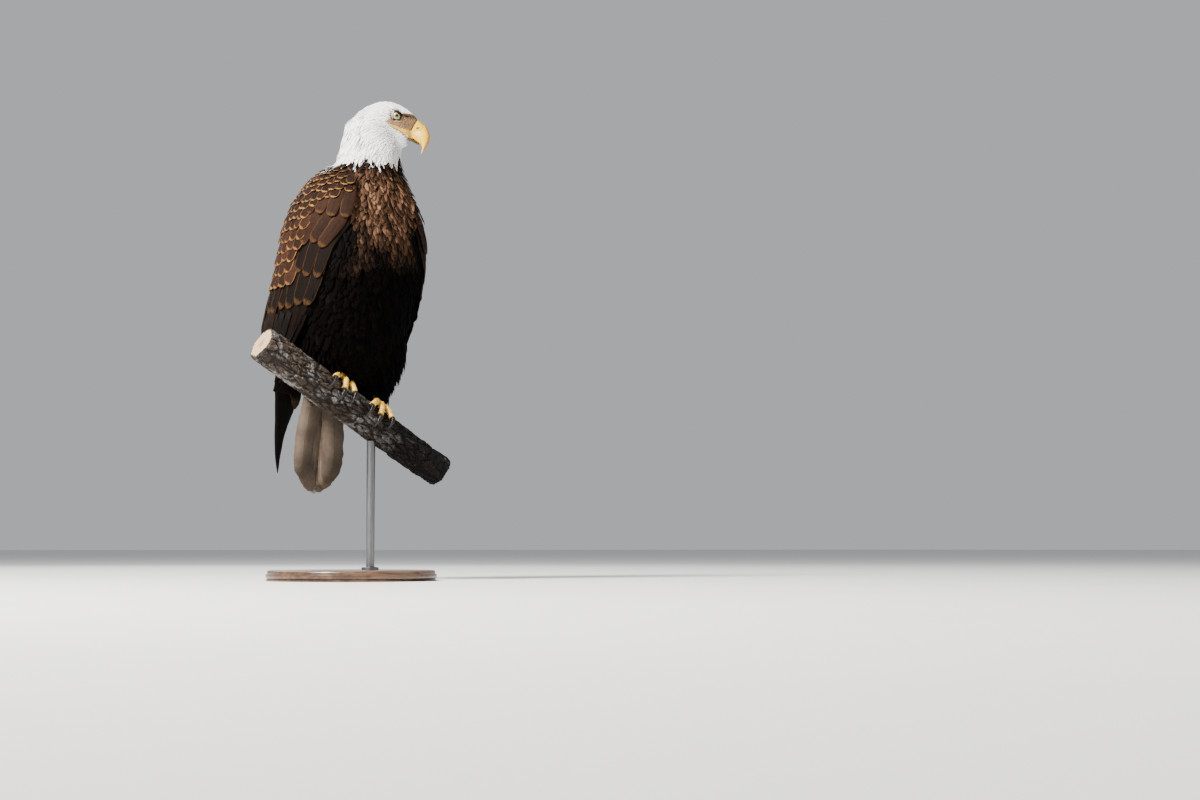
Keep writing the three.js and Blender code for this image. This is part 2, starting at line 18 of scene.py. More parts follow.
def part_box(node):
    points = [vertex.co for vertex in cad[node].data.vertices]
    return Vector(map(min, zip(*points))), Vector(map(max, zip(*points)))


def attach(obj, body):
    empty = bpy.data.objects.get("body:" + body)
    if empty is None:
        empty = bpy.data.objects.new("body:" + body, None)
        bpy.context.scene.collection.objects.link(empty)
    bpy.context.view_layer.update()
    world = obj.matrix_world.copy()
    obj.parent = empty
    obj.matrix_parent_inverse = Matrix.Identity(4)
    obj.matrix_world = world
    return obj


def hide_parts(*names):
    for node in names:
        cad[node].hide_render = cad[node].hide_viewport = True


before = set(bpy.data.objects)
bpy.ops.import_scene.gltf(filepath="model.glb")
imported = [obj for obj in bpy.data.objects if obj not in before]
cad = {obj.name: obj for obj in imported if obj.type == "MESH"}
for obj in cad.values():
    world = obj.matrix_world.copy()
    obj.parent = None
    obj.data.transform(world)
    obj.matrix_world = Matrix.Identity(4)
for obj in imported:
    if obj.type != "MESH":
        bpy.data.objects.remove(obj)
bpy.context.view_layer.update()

MM = 0.001
SIDES = {"right": -1, "left": 1}

# ---------------------------------------------------------------- the bird's own places

# The head's frame, as the CAD turns it.
HEAD_POINT = np.array((45.9, -78.9, 874.5)) * MM
HEAD_YAW = math.radians(55)
HEAD_PITCH = math.radians(26)
HEAD_FORWARD = np.array((
    math.sin(HEAD_YAW) * math.cos(HEAD_PITCH),
    -math.cos(HEAD_YAW) * math.cos(HEAD_PITCH),
    -math.sin(HEAD_PITCH),
))
HEAD_LEFT = np.array((math.cos(HEAD_YAW), math.sin(HEAD_YAW), 0))
HEAD_UP = np.cross(HEAD_FORWARD, HEAD_LEFT)
HEAD_AXES = np.array((HEAD_FORWARD, HEAD_LEFT, HEAD_UP))
EYE_MM = np.array((1, 19.5, -4))  # forward, sideways and up in the head
EYE_RADIUS_MM = 11

# The body's middle line: (height, y) in mm, and how far it leans to the left for each mm of height.
AXIS_Y_MM = ((340, 62), (433, 48), (530, 24), (625, 0), (715, -19), (782, -33))
AXIS_LEAN = 0.01
PERCH_HEIGHT = 0.322
PERCH_SLOPE = math.radians(30.5)
PERCH_RADIUS = 0.034

# The wing's front edge: (height, degrees round the body from the breast).
WING_FRONT = ((0.505, 61), (0.572, 52), (0.625, 46), (0.655, 34), (0.715, 31))

# Where the white of the neck stops.
WHITE_EDGE = 0.787


def in_head(forward, left, up):
    """Places in the head's frame, given in mm as numbers or as arrays."""
    return HEAD_POINT + (np.stack(np.broadcast_arrays(forward, left, up), -1) * MM) @ HEAD_AXES


def head_mm(points):
    """Forward, left and up in the head's frame, in mm."""
    return (points - HEAD_POINT) @ HEAD_AXES.T / MM


def unit(vectors):
    return vectors / np.maximum(np.linalg.norm(vectors, axis=-1, keepdims=True), 1e-12)


def dot(a, b):
    return (a * b).sum(-1)


def ease(x, low, high):
    """0 below low, 1 above high, and a smooth step between."""
    t = np.clip((np.asarray(x, float) - low) / (high - low), 0, 1)
    return t * t * (3 - 2 * t)


def blend(a, b, share):
    return a + (b - a) * share


def along(table, x):
    """The value at x of a table of (x, value) pairs."""
    places, values = zip(*table)
    return np.interp(x, places, values)


def layered(tone, *layers):
    """Colours with others laid over them in turn, as (colour, share at each place) pairs."""
    for color, share in layers:
        tone = blend(tone, color, share[:, None])
    return tone


def wobble(points, size, seed):
    """Smooth noise between about -1 and 1 that varies over that size, from a sum of slanted waves."""
    rng = np.random.default_rng(seed)
    waves = rng.normal(size=(10, points.shape[-1])) * (2.4 / size)
    phases = rng.uniform(0, math.tau, 10)
    return np.sin(points @ waves.T + phases).mean(-1) * 2


def axis_at(heights):
    """The body's middle line at those heights."""
    y = along(AXIS_Y_MM, heights / MM) * MM
    return np.stack((AXIS_LEAN * (heights - PERCH_HEIGHT), y, heights), -1)


def degrees_round(points):
    """How far round the body from the breast, 0 to 180 on the right side and 0 to -180 on the left."""
    away = points - axis_at(points[..., 2])
    return np.degrees(np.arctan2(-away[..., 0], -away[..., 1]))


# ---------------------------------------------------------------- meshes


def new_object(name, vertices, faces, slot=None, material=None, **painted):
    """An object from an array of vertices and a list of arrays of faces, each with its own corner count.

    With a slot it rides on the part's root, but the slot's name itself is not kept. painted goes to paint()."""
    mesh = bpy.data.meshes.new(name)
    counts = np.concatenate([np.full(len(f), f.shape[1]) for f in faces])
    corners = np.concatenate([f.ravel() for f in faces])
    mesh.vertices.add(len(vertices))
    mesh.vertices.foreach_set("co", np.ascontiguousarray(vertices, np.float32).ravel())
    mesh.loops.add(len(corners))
    mesh.loops.foreach_set("vertex_index", corners.astype(np.int32))
    mesh.polygons.add(len(counts))
    mesh.polygons.foreach_set("loop_start", (np.cumsum(counts) - counts).astype(np.int32))
    mesh.polygons.foreach_set("loop_total", counts.astype(np.int32))
    mesh.update(calc_edges=True)
    mesh.validate()
    mesh.shade_smooth()
    mesh.materials.append(material)
    thing = bpy.data.objects.new(name, mesh)
    bpy.context.scene.collection.objects.link(thing)
    if slot:
        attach(thing, "root")
    paint(thing, **painted)
    return thing


def tube_faces(rings, steps):
    """Quads between closed rings of vertices, with that many steps round each ring."""
    ring, step = np.meshgrid(np.arange(rings - 1), np.arange(steps), indexing="ij")
    following = (step + 1) % steps
    corners = np.stack((ring, ring, ring + 1, ring + 1), -1) * steps
    return (corners + np.stack((step, following, following, step), -1)).reshape(-1, 4)


def tube_ends(rings, steps):
    """The faces that close a tube's first and last ring."""
    return np.array([np.arange(steps)[::-1], (rings - 1) * steps + np.arange(steps)])


def paint(thing, **values):
    """Gives each vertex a colour (three numbers) or a number under each of those names."""
    for name, data in values.items():
        data = np.asarray(data, np.float32)
        if data.ndim == 2:
            layer = thing.data.attributes.new(name, "FLOAT_COLOR", "POINT")
            data = np.concatenate((data, np.ones((len(data), 1), np.float32)), 1)
            layer.data.foreach_set("color", data.ravel())
        else:
            layer = thing.data.attributes.new(name, "FLOAT", "POINT")
            layer.data.foreach_set("value", data)


def unwrap(thing, name, places):
    """A UV map from one place for each vertex."""
    layer = thing.data.uv_layers.new(name=name)
    corners = np.empty(len(thing.data.loops), np.int32)
    thing.data.loops.foreach_get("vertex_index", corners)
    layer.data.foreach_set("uv", places[corners].astype(np.float32).ravel())


def mesh_arrays(mesh):
    """A mesh's vertices, triangles and vertex normals."""
    mesh.calc_loop_triangles()
    vertices = np.empty(len(mesh.vertices) * 3)
    mesh.vertices.foreach_get("co", vertices)
    triangles = np.empty(len(mesh.loop_triangles) * 3, np.int32)
    mesh.loop_triangles.foreach_get("vertices", triangles)
    normals = np.empty(len(mesh.vertices) * 3)
    mesh.vertex_normals.foreach_get("vector", normals)
    return vertices.reshape(-1, 3), triangles.reshape(-1, 3), normals.reshape(-1, 3)


def joined_cad(names, name):
    """A new mesh that holds those CAD nodes together."""
    build = bmesh.new()
    for node in names:
        build.from_mesh(cad[node].data)
    mesh = bpy.data.meshes.new(name)
    build.to_mesh(mesh)
    build.free()
    return mesh


def remeshed(names, voxel, smoothing):
    """Those CAD nodes as one smooth mesh of small even faces."""
    thing = bpy.data.objects.new("remesh", joined_cad(names, "remesh"))
    bpy.context.scene.collection.objects.link(thing)
    remesh = thing.modifiers.new("voxels", "REMESH")
    remesh.mode = "VOXEL"
    remesh.voxel_size = voxel
    smooth = thing.modifiers.new("smooth", "SMOOTH")
    smooth.factor = 0.5
    smooth.iterations = smoothing
    graph = bpy.context.evaluated_depsgraph_get()
    mesh = bpy.data.meshes.new_from_object(thing.evaluated_get(graph))
    bpy.data.objects.remove(thing)
    return mesh


class Surface:
    """Triangles to lay things on: the nearest place with its smooth normal, and where rays meet it."""

    def __init__(self, vertices, triangles, normals):
        self.vertices = vertices
        self.triangles = triangles
        self.tree = BVHTree.FromPolygons(vertices.tolist(), triangles.tolist())
        self.face_normals = unit(normals[triangles].mean(1))

    def nearest(self, points):
        """The nearest places, their normals and how far they are."""
        flat = points.reshape(-1, 3)
        found = [self.tree.find_nearest(p) for p in flat.tolist()]
        places = np.array([hit[0] for hit in found]).reshape(points.shape)
        normals = self.face_normals[[hit[2] for hit in found]].reshape(points.shape)
        gaps = np.array([hit[3] for hit in found]).reshape(points.shape[:-1])
        return places, normals, gaps

    def cast(self, start, direction):
        """Where a ray meets the surface, or None."""
        return self.tree.ray_cast(Vector(start), Vector(direction))[0]


def surface_of(mesh):
    return Surface(*mesh_arrays(mesh))


# ---------------------------------------------------------------- materials


def new_material(name, roughness, **sockets):
    """A material, its node tree and its shader, with plain values set on the shader's own sockets."""
    material = bpy.data.materials.new(name)
    material.use_nodes = True
    shader = material.node_tree.nodes["Principled BSDF"]
    shader.inputs["Roughness"].default_value = roughness
    for socket, value in sockets.items():
        shader.inputs[socket.replace("_", " ")].default_value = value
    return material, material.node_tree, shader


def node(tree, kind, inputs=(), **settings):
    """A shader node. inputs holds (socket, value or output socket to link) pairs."""
    made = tree.nodes.new("ShaderNode" + kind)
    for key, value in settings.items():
        setattr(made, key, value)
    for socket, value in inputs:
        if isinstance(value, bpy.types.NodeSocket):
            tree.links.new(value, made.inputs[socket])
        else:
            made.inputs[socket].default_value = value
    return made


def calc(tree, operation, a, b=0.0):
    """One step of arithmetic between numbers or outputs."""
    return node(tree, "Math", ((0, a), (1, b)), operation=operation).outputs[0]


def times(tree, a, b):
    return calc(tree, "MULTIPLY", a, b)


def plus(tree, a, b):
    return calc(tree, "ADD", a, b)


def remap(tree, value, low, high, to_low=0.0, to_high=1.0):
    """A value that goes smoothly from one range to another."""
    pairs = (("Value", value), ("From Min", low), ("From Max", high), ("To Min", to_low), ("To Max", to_high))
    return node(tree, "MapRange", pairs, interpolation_type="SMOOTHSTEP").outputs[0]


def mix(tree, share, a, b, how="MIX"):
    """Two colours mixed by a share."""
    pairs = ((0, share), (6, a), (7, b))
    return node(tree, "Mix", pairs, data_type="RGBA", blend_type=how).outputs[2]


def noise(tree, size, detail=3.0, stretch=None):
    """Noise with blotches of about that size in metres, between 0 and 1."""
    place = node(tree, "NewGeometry").outputs["Position"]
    if stretch:
        place = node(tree, "VectorMath", ((0, place), (1, stretch)), operation="MULTIPLY").outputs[0]
    pairs = (("Vector", place), ("Scale", 1 / size), ("Detail", detail))
    return node(tree, "TexNoise", pairs).outputs["Fac"]


def raise_bumps(tree, shader, height, distance, strength=1.0):
    """Bumps of that depth in metres under the shader."""
    pairs = (("Height", height), ("Distance", distance), ("Strength", strength))
    tree.links.new(node(tree, "Bump", pairs).outputs["Normal"], shader.inputs["Normal"])


def attribute(tree, name, output="Color"):
    return node(tree, "Attribute", attribute_name=name).outputs[output]


def grey(tree, shade):
    """A grey of that lightness."""
    return node(tree, "CombineXYZ", ((0, shade), (1, shade), (2, shade))).outputs[0]


def set_color(tree, shader, color, shade=None):
    """Gives the shader that colour, made lighter or darker by a number where there is a shade."""
    if shade is not None:
        color = mix(tree, 1.0, color, grey(tree, shade), "MULTIPLY")
    tree.links.new(color, shader.inputs["Base Color"])


# How closely the barbs follow each other along a vane, how they slant across it, and how dark its shaft is.
BARBS_ALONG, BARBS_ACROSS = 190.0, -42.0
SHAFT_SHADE = 0.72


def feather_material(name, fringe_color, barb_contrast, roughness, fringe_start=0.74, gloss=0.3):
    """Vanes with a shaft, slanted barbs, a fringe of another colour and small differences in tone."""
    material, tree, shader = new_material(name, roughness, Specular_IOR_Level=gloss)
    split = node(tree, "SeparateXYZ", ((0, node(tree, "UVMap", uv_map="vane").outputs[0]),))
    across, lengthways = split.outputs[0], split.outputs[1]
    out = calc(tree, "ABSOLUTE", times(tree, calc(tree, "SUBTRACT", across, 0.5), 2.0))
    ragged = times(tree, calc(tree, "SUBTRACT", noise(tree, 0.0022), 0.5), 0.12)
    edge = remap(tree, plus(tree, out, ragged), fringe_start, fringe_start + 0.13)
    edge = times(tree, edge, remap(tree, lengthways, 0.25, 0.6))
    tip = remap(tree, plus(tree, lengthways, ragged), 0.90, 0.95)
    fringe = times(tree, calc(tree, "MAXIMUM", edge, tip), attribute(tree, "fringe", "Fac"))
    phase = plus(tree, times(tree, lengthways, BARBS_ALONG), times(tree, out, BARBS_ACROSS))
    barbs = calc(tree, "SINE", phase)
    patches = remap(tree, noise(tree, 0.006), 0.3, 0.7, 1 - barb_contrast, 1 + barb_contrast)
    shade = times(tree, remap(tree, barbs, -1.0, 1.0, 1 - barb_contrast, 1.0), patches)
    shaft = remap(tree, out, 0.05, 0.02)
    shade = times(tree, shade, remap(tree, shaft, 0.0, 1.0, 1.0, SHAFT_SHADE))
    set_color(tree, shader, mix(tree, fringe, attribute(tree, "tone"), fringe_color), shade)
    raise_bumps(tree, shader, plus(tree, barbs, times(tree, shaft, 4.0)), 0.00012, 0.6)
    return material


def toned_material(name, roughness, grain, contrast, bump, **sockets):
    """The vertex colours called tone, with fine grain in colour and bumps."""
    material, tree, shader = new_material(name, roughness, **sockets)
    fine = noise(tree, grain, 5.0)
    set_color(tree, shader, attribute(tree, "tone"), remap(tree, fine, 0.3, 0.7, 1 - contrast, 1 + contrast))
    raise_bumps(tree, shader, fine, bump)
    return material


# ---------------------------------------------------------------- colours of the plumage (linear)

WHITE = np.array((0.92, 0.90, 0.875))
CREAM = np.array((0.62, 0.55, 0.46))
LORE = np.array((0.27, 0.150, 0.060))
# dark bare skin of the lids, also used as painted shade under the brow and round the eye, and for the dark
# forehead
DARK_SKIN_AND_SHADE = np.array((0.022, 0.016, 0.012))
BREAST = np.array((0.068, 0.034, 0.019))
# the belly's dark brown, darkened further as painted shade
BELLY_IN_SHADE = np.array((0.0018, 0.0012, 0.0010))
BACK = np.array((0.0125, 0.0047, 0.0022))
FLIGHT = np.array((0.0040, 0.0028, 0.0022))
# the white tail dimmed by painted shade, and next the deeper painted shade on its front and near its root
TAIL_PALE = np.array((0.42, 0.385, 0.34))
TAIL_SHADE = np.array((0.090, 0.067, 0.049))
CHEEK_GREY = np.array((0.26, 0.235, 0.205))

# Under the brow, (forward, up) in mm in the head's frame: the line of painted shadow under the brow, and
# where the white starts.
BROW_LINE = ((-12, 3.5), (-3, 4.4), (3, 3.0), (9, 1.5), (14, 2.1), (20, 4.2), (28, 7.6), (37, 9))
BROW_WHITE = ((-12, 5), (-5, 5.1), (5, 5.5), (14, 5.2), (23, 11), (30, 15), (38, 18))


def face_tone(points, tone):
    """Lores, a line of painted shadow under the brow, the dark forehead and painted shade on the cheek, over
    a white head.
    """
    forward, _, up = head_mm(points).T
    above_line = up - along(BROW_LINE, forward)
    above_white = up - along(BROW_WHITE, forward)
    ahead = np.maximum(ease(forward, 7, 12), ease(forward, -7, -2) * ease(up, -11, -13))
    lores = ahead * ease(above_white, 1, -1) * ease(up, -26, -21)
    ruddy = ease(np.hypot((forward - 4) / 1.6, up + 17), 5, 1)
    umber = lores * ease(above_line, -7, 1.0) * ease(forward, 10, 20)
    thick = blend(2.9, 1.8, ease(forward, 10, 20))
    # painted shadow: the dark line under the overhanging brow
    line = ease(forward, 1, 6) * ease(forward, 33, 20) * ease(np.abs(above_line), thick, 0.9)
    forehead = ease(forward, 26, 33) * ease(up, 5, 9)
    # painted shade on the cheek and throat below the gape
    cheek = ease(np.hypot((forward + 2) / 1.7, up + 36), 20, 6)
    return layered(
        tone,
        (LORE, 0.95 * lores),
        (LORE * (0.9, 0.65, 0.6), 0.6 * ruddy),
        (LORE * 0.42, 0.7 * umber),
        (DARK_SKIN_AND_SHADE, 0.92 * line),
        (DARK_SKIN_AND_SHADE * 1.3, 0.88 * forehead),
        (CHEEK_GREY, 0.35 * cheek),
    )


def white_edge(points):
    """How far above the ragged lower edge of the white a place is."""
    return points[:, 2] - WHITE_EDGE - 0.015 * wobble(points * (1, 1, 0.6), 0.018, 3)


def warmth(points):
    """1 on the lit brown breast, 0 on the belly and the flanks, which are painted in shade, and on the darker
    collar under the white.
    """
    heights = points[:, 2]
    round_body = np.abs(degrees_round(points))
    # painted light and shade: the breast high up is painted lit, the body below it painted in shade
    high = ease(heights + 0.035 * wobble(points, 0.035, 5), 0.59, 0.70)
    # painted shadow in the gap between the wing's front edge and the body
    wing_gap_shade = ease(round_body - along(WING_FRONT, heights), -14, -6) * ease(heights, 0.695, 0.66)
    collar = ease(heights - 0.01 * wobble(points, 0.012, 4), 0.758, 0.776)
    return high * (1 - wing_gap_shade) * (1 - 0.85 * collar)


def brown_tone(points):
    """The colour of the plumage below the white of the neck, with painted shade on the belly and flanks."""
    front = ease(np.abs(degrees_round(points)), 100, 75)
    return blend(BACK, blend(BELLY_IN_SHADE, BREAST, warmth(points)[:, None]), front[:, None])


def body_tone(points):
    """The plumage's colour anywhere on the body."""
    tone = np.where((white_edge(points) > 0)[:, None], WHITE, brown_tone(points))
    return face_tone(points, tone)


# ---------------------------------------------------------------- the skin

FLESH = ["head", "neck", "trunk", "tail", "thigh_right", "thigh_left"]
FLESH += [f"wing_{side}_{part}" for side in SIDES for part in ("coverts", "secondaries")]
SKIN_VOXEL = 0.003
THIN_SHARE = 0.38  # the skin lies no deeper than this share of a thin part
GROUPS = {
    "head": ["head"],
    "neck": ["neck"],
    "trunk": ["trunk"],
    "tail": ["tail"],
    "thigh": ["thigh_right", "thigh_left"],
    "wing": [n for n in FLESH if n.startswith("wing")],
}
BILL_ROOT = in_head(33.5, 0, -8)
TAIL_FLESH_END = 0.350
TAIL_SQUEEZE = 0.12  # how much of its length the flesh below that keeps
FACE_REACH = 0.047
NECK_JOIN = (0.046, 0.15)  # where the surface is softened, from the bill's root
BROW_RISE_MM = 4.6
LORE_HOLLOW_MM = 1.5


def coat_depth(points):
    """How deep the skin lies under the feathers' outer surface."""
    from_bill = np.linalg.norm(points - BILL_ROOT, axis=1) / MM
    return along(((12, 0.9), (40, 1.7), (80, 2.8), (120, 4.6), (170, 7.5)), from_bill) * MM


def refine_face(mesh):
    """Smaller faces on the front of the head, and a softer join between head and neck."""
    build = bmesh.new()
    build.from_mesh(mesh)
    away = [np.linalg.norm(np.array(v.co) - BILL_ROOT) for v in build.verts]
    soft = [v for v, gap in zip(build.verts, away) if NECK_JOIN[0] < gap < NECK_JOIN[1]]
    every_way = {f"use_axis_{axis}": True for axis in "xyz"}
    for _ in range(16):
        bmesh.ops.smooth_vert(build, verts=soft, factor=0.5, **every_way)
    middle = in_head(14, 0, -6)
    near = {v for v in build.verts if np.linalg.norm(np.array(v.co) - middle) < FACE_REACH}
    edges = [e for e in build.edges if near.issuperset(e.verts)]
    bmesh.ops.subdivide_edges(build, edges=edges, cuts=1, use_grid_fill=True)
    build.to_mesh(mesh)
    build.free()


def sculpt_face(vertices):
    """Raises the brow over each eye and hollows the lores and the cheek below it."""
    forward, left, up = head_mm(vertices).T
    out = np.abs(left)
    side = np.sign(left)[:, None] * HEAD_LEFT
    above = up - along(BROW_LINE, forward)
    brow = ease(np.abs(forward - 4), 27, 9) * ease(above, -0.5, 3.5) * ease(above, 14, 4) * ease(out, 10, 15)
    hollow = ease(np.hypot((forward - 24) / 1.4, up + 6), 13, 2) * ease(out, 9, 13)
    return vertices + side * ((BROW_RISE_MM * brow - LORE_HOLLOW_MM * hollow) * MM)[:, None]


def shorten_tail(vertices):
    """Draws the tail's flesh up to its root, because only the long feathers reach further."""
    low, high = (np.array(corner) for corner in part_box("tail"))
    inside = np.all((vertices > low - 2 * MM) & (vertices < high + 2 * MM), axis=1)
    moving = inside & (vertices[:, 2] < TAIL_FLESH_END)
    heights = np.linspace(low[2], TAIL_FLESH_END, 20)
    tail = vertices[inside]
    middles = np.array([tail[np.abs(tail[:, 2] - height) < 0.006, :2].mean(0) for height in heights])
    before = vertices[moving]
    after = before.copy()
    after[:, 2] = TAIL_FLESH_END - TAIL_SQUEEZE * (TAIL_FLESH_END - before[:, 2])
    shrink = blend(0.5, 1, ease(before[:, 2], 0.30, TAIL_FLESH_END))
    for k in (0, 1):
        away = before[:, k] - np.interp(before[:, 2], heights, middles[:, k])
        after[:, k] = np.interp(after[:, 2], heights, middles[:, k]) + away * shrink
    vertices[moving] = after
    return vertices


def build_skin():
    """The skin under the whole coat, and which part of the body each of its vertices belongs to."""
    mesh = remeshed(FLESH, SKIN_VOXEL, 6)
    refine_face(mesh)
    vertices, triangles, normals = mesh_arrays(mesh)
    vertices = sculpt_face(vertices)
    outside = Surface(vertices, triangles, normals)
    depth = coat_depth(vertices)
    for i, (place, normal) in enumerate(zip(vertices, normals)):
        far = outside.cast(place - normal * 0.0004, -normal)
        if far is not None:
            depth[i] = min(depth[i], THIN_SHARE * (Vector(place) - far).length)
    vertices = shorten_tail(vertices - normals * depth[:, None])
    mesh.vertices.foreach_set("co", vertices.astype(np.float32).ravel())
    mesh.update()
    vertices, triangles, normals = mesh_arrays(mesh)
    gaps = [surface_of(joined_cad(names, group)).nearest(vertices)[2] for group, names in GROUPS.items()]
    labels = np.array(list(GROUPS))[np.argmin(gaps, axis=0)]
    return Surface(vertices, triangles, normals), labels


skin, skin_labels = build_skin()


def eye_frame(side):
    """An eye's centre and its axes: out of the eye, forward and up."""
    turn_forward, turn_down = math.radians(9), math.radians(3)
    out = HEAD_LEFT * side * math.cos(turn_forward) + HEAD_FORWARD * math.sin(turn_forward)
    out = unit(out - HEAD_UP * math.sin(turn_down))
    forward = unit(HEAD_FORWARD - out * dot(HEAD_FORWARD, out))
    up = np.cross(out, forward)
    return in_head(EYE_MM[0], side * EYE_MM[1], EYE_MM[2]), out, forward, up * np.sign(dot(up, HEAD_UP))


# The lids as rings round the eye: degrees behind the opening's edge, and mm from the eye's centre.
LID_RINGS = ((-8, 10.1), (-2, 10.9), (0, 11.5), (3.5, 11.9), (8, 11.75), (12, 11.3), (17, 11.4), (23, 12.0))
LID_STEPS = 72
LID_SKIN_RINGS = (70, 78, 87, 97)
LID_OPENING_MM = 6.9
LID_DARK_MM = 10.1
LID_REACH_MM = 13.2  # from here out the lids' skin goes over into the head's
LID_SINK_MM = 0.6
EYE_HOLLOW, EYE_HOLLOW_DEPTH = 0.0155, 0.0085
# how far round each eye the skin is painted dark as shade
EYE_SHADE = 0.0165
BROW_CUT_MM = 4.6


def lid_edge(turn):
    """How far the lids' edge is from the pupil's middle, in mm: round, but cut slantwise by the brow."""
    corner = 1.7 * np.exp(-((turn - math.radians(338)) / 0.28) ** 2)
    corner = corner + 0.8 * np.exp(-((turn - math.pi) / 0.3) ** 2)
    cut = BROW_CUT_MM / np.maximum(np.sin(turn) + 0.25 * np.cos(turn), 0.05)
    return ((LID_OPENING_MM + corner) ** -6 + cut ** -6) ** (-1 / 6)


def lid_patch(side):
    """The skin of one eye's lids, from inside the eye's surface out to the skin of the head."""
    centre, out, forward, up = eye_frame(side)
    turn = np.linspace(0, math.tau, LID_STEPS, endpoint=False)
    round_eye = np.outer(np.cos(turn), forward) + np.outer(np.sin(turn), up)
    opening = np.degrees(np.arcsin(lid_edge(turn) / EYE_RADIUS_MM))
    outermost = math.degrees(math.asin(LID_OPENING_MM / EYE_RADIUS_MM)) + LID_RINGS[-1][0]
    rings = []
    for behind, reach in LID_RINGS:
        share = max(behind, 0) / LID_RINGS[-1][0]
        polar = np.radians(blend(opening + behind, outermost, share))
        away = np.cos(polar)[:, None] * out + np.sin(polar)[:, None] * round_eye
        rings.append(centre + away * reach * MM)
    for k, polar in enumerate(LID_SKIN_RINGS):
        spread = math.radians(polar)
        away = math.cos(spread) * out + math.sin(spread) * round_eye
        on_skin, normals, _ = skin.nearest(centre + away * LID_REACH_MM * MM)
        share = (k + 1) / len(LID_SKIN_RINGS)
        free = centre + away * blend(12.6, 13.5, share) * MM
        rings.append(blend(free, on_skin - normals * LID_SINK_MM * MM, share ** 0.7))
    vertices = np.concatenate(rings)
    quads = tube_faces(len(rings), LID_STEPS)[:, ::side]
    return vertices, quads, lid_tone(vertices, centre, forward, up)


def lid_tone(vertices, centre, forward, up):
    """Dark bare lids, widest in front and wider at the top where painted shadow from the brow is added, with
    a pale crescent of skin behind the eye.
    """
    arms = (vertices - centre) / MM
    ahead, upward = arms @ forward, arms @ up
    reach = np.hypot(ahead, upward)
    behind = ease(ahead / np.maximum(reach, 1e-6), -0.1, -0.6) * ease(upward, 7, 4)
    # the dark band reaches further at the top: painted shadow from the brow over the real dark lids
    dark_reach = LID_DARK_MM - 1.5 * behind + 0.8 * ease(upward, 2, 6)
    return layered(
        face_tone(vertices, CREAM * 0.8),
        (CREAM, behind * ease(reach, 12.6, 11)),
        (DARK_SKIN_AND_SHADE * 0.55, ease(reach - dark_reach, 0.5, -0.5)),
    )


def dress_skin():
    """The skin's object: its mesh with a hollow for each eye, and the lids in it."""
    vertices = skin.vertices.copy()
    tones = body_tone(vertices)
    # painted shade: the skin under the white feathers is painted a quarter darker
    tones *= (1 - 0.25 * ease(white_edge(vertices), -0.001, 0.001))[:, None]
    tones[(skin_labels == "wing") & (vertices[:, 2] < 0.6)] = FLIGHT * 1.5
    # the tail's hidden skin takes the tail's painted shade
    tones[skin_labels == "tail"] = TAIL_SHADE
    faces = [skin.triangles]
    lids = [lid_patch(side) for side in SIDES.values()]
    for side in SIDES.values():
        centre, out, _, _ = eye_frame(side)
        arms = vertices - centre
        reach = np.linalg.norm(arms, axis=1)
        inside = (reach < EYE_HOLLOW) & (dot(unit(arms), out) > math.cos(math.radians(72)))
        vertices[inside] = centre + unit(arms[inside]) * EYE_HOLLOW_DEPTH
        # painted shade: the skin close round each eye is painted dark, as under the brow's overhanging
        # feathers
        tones[reach < EYE_SHADE] = DARK_SKIN_AND_SHADE
    for lid_vertices, lid_quads, lid_tones in lids:
        faces.append(lid_quads + len(vertices))
        vertices = np.concatenate((vertices, lid_vertices))
        tones = np.concatenate((tones, lid_tones))
    bare = toned_material("bare_skin", 0.75, 0.0012, 0.18, 0.0003, Specular_IOR_Level=0.06)
    thing = new_object("skin", vertices, faces, "plumage_white", bare, tone=tones)
    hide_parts(*FLESH, "wing_right_primaries", "wing_left_primaries")


dress_skin()

# ---------------------------------------------------------------- feathers

# Outlines of vanes: (share of the length from the root, share of the full width).
ROUND = ((0, 0.35), (0.3, 0.8), (0.6, 1), (0.8, 0.97), (0.9, 0.82), (0.96, 0.6), (1, 0.22))
DROP = ((0, 0.35), (0.35, 0.85), (0.62, 1), (0.8, 0.8), (0.92, 0.45), (1, 0.06))
LANCE = ((0, 0.5), (0.3, 0.95), (0.5, 1), (0.75, 0.7), (0.9, 0.32), (1, 0.03))
BLADE = ((0, 0.4), (0.15, 0.9), (0.6, 1), (0.9, 0.86), (0.96, 0.62), (1, 0.16))
POINTED = ((0, 0.5), (0.2, 1), (0.6, 0.9), (0.85, 0.6), (0.95, 0.36), (1, 0.06))
VANE_THICKNESS = 0.00015


def lie(points):
    """Which way the coat lies: away from the bill on the head, then down and back along the body."""
    away = points - BILL_ROOT
    share = ease(np.linalg.norm(away, axis=-1), 0.055, 0.125)[..., None]
    down = np.zeros_like(points)
    down[..., 2] = -1
    down[..., 1] = 0.18
    return unit(blend(unit(away), down, share))


def thinned(points, spacing):
    """Which of the points keep that spacing from every one kept before them."""
    cells = {}
    kept = []
    near = list(product((-1, 0, 1), repeat=3))
    corners = np.floor(points / spacing).astype(int).tolist()
    for index, (point, (i, j, k)) in enumerate(zip(points.tolist(), corners)):
        beside = (other for a, b, c in near for other in cells.get((i + a, j + b, k + c), ()))
        if all(math.dist(point, other) >= spacing for other in beside):
            cells.setdefault((i, j, k), []).append(point)
            kept.append(index)
    return kept


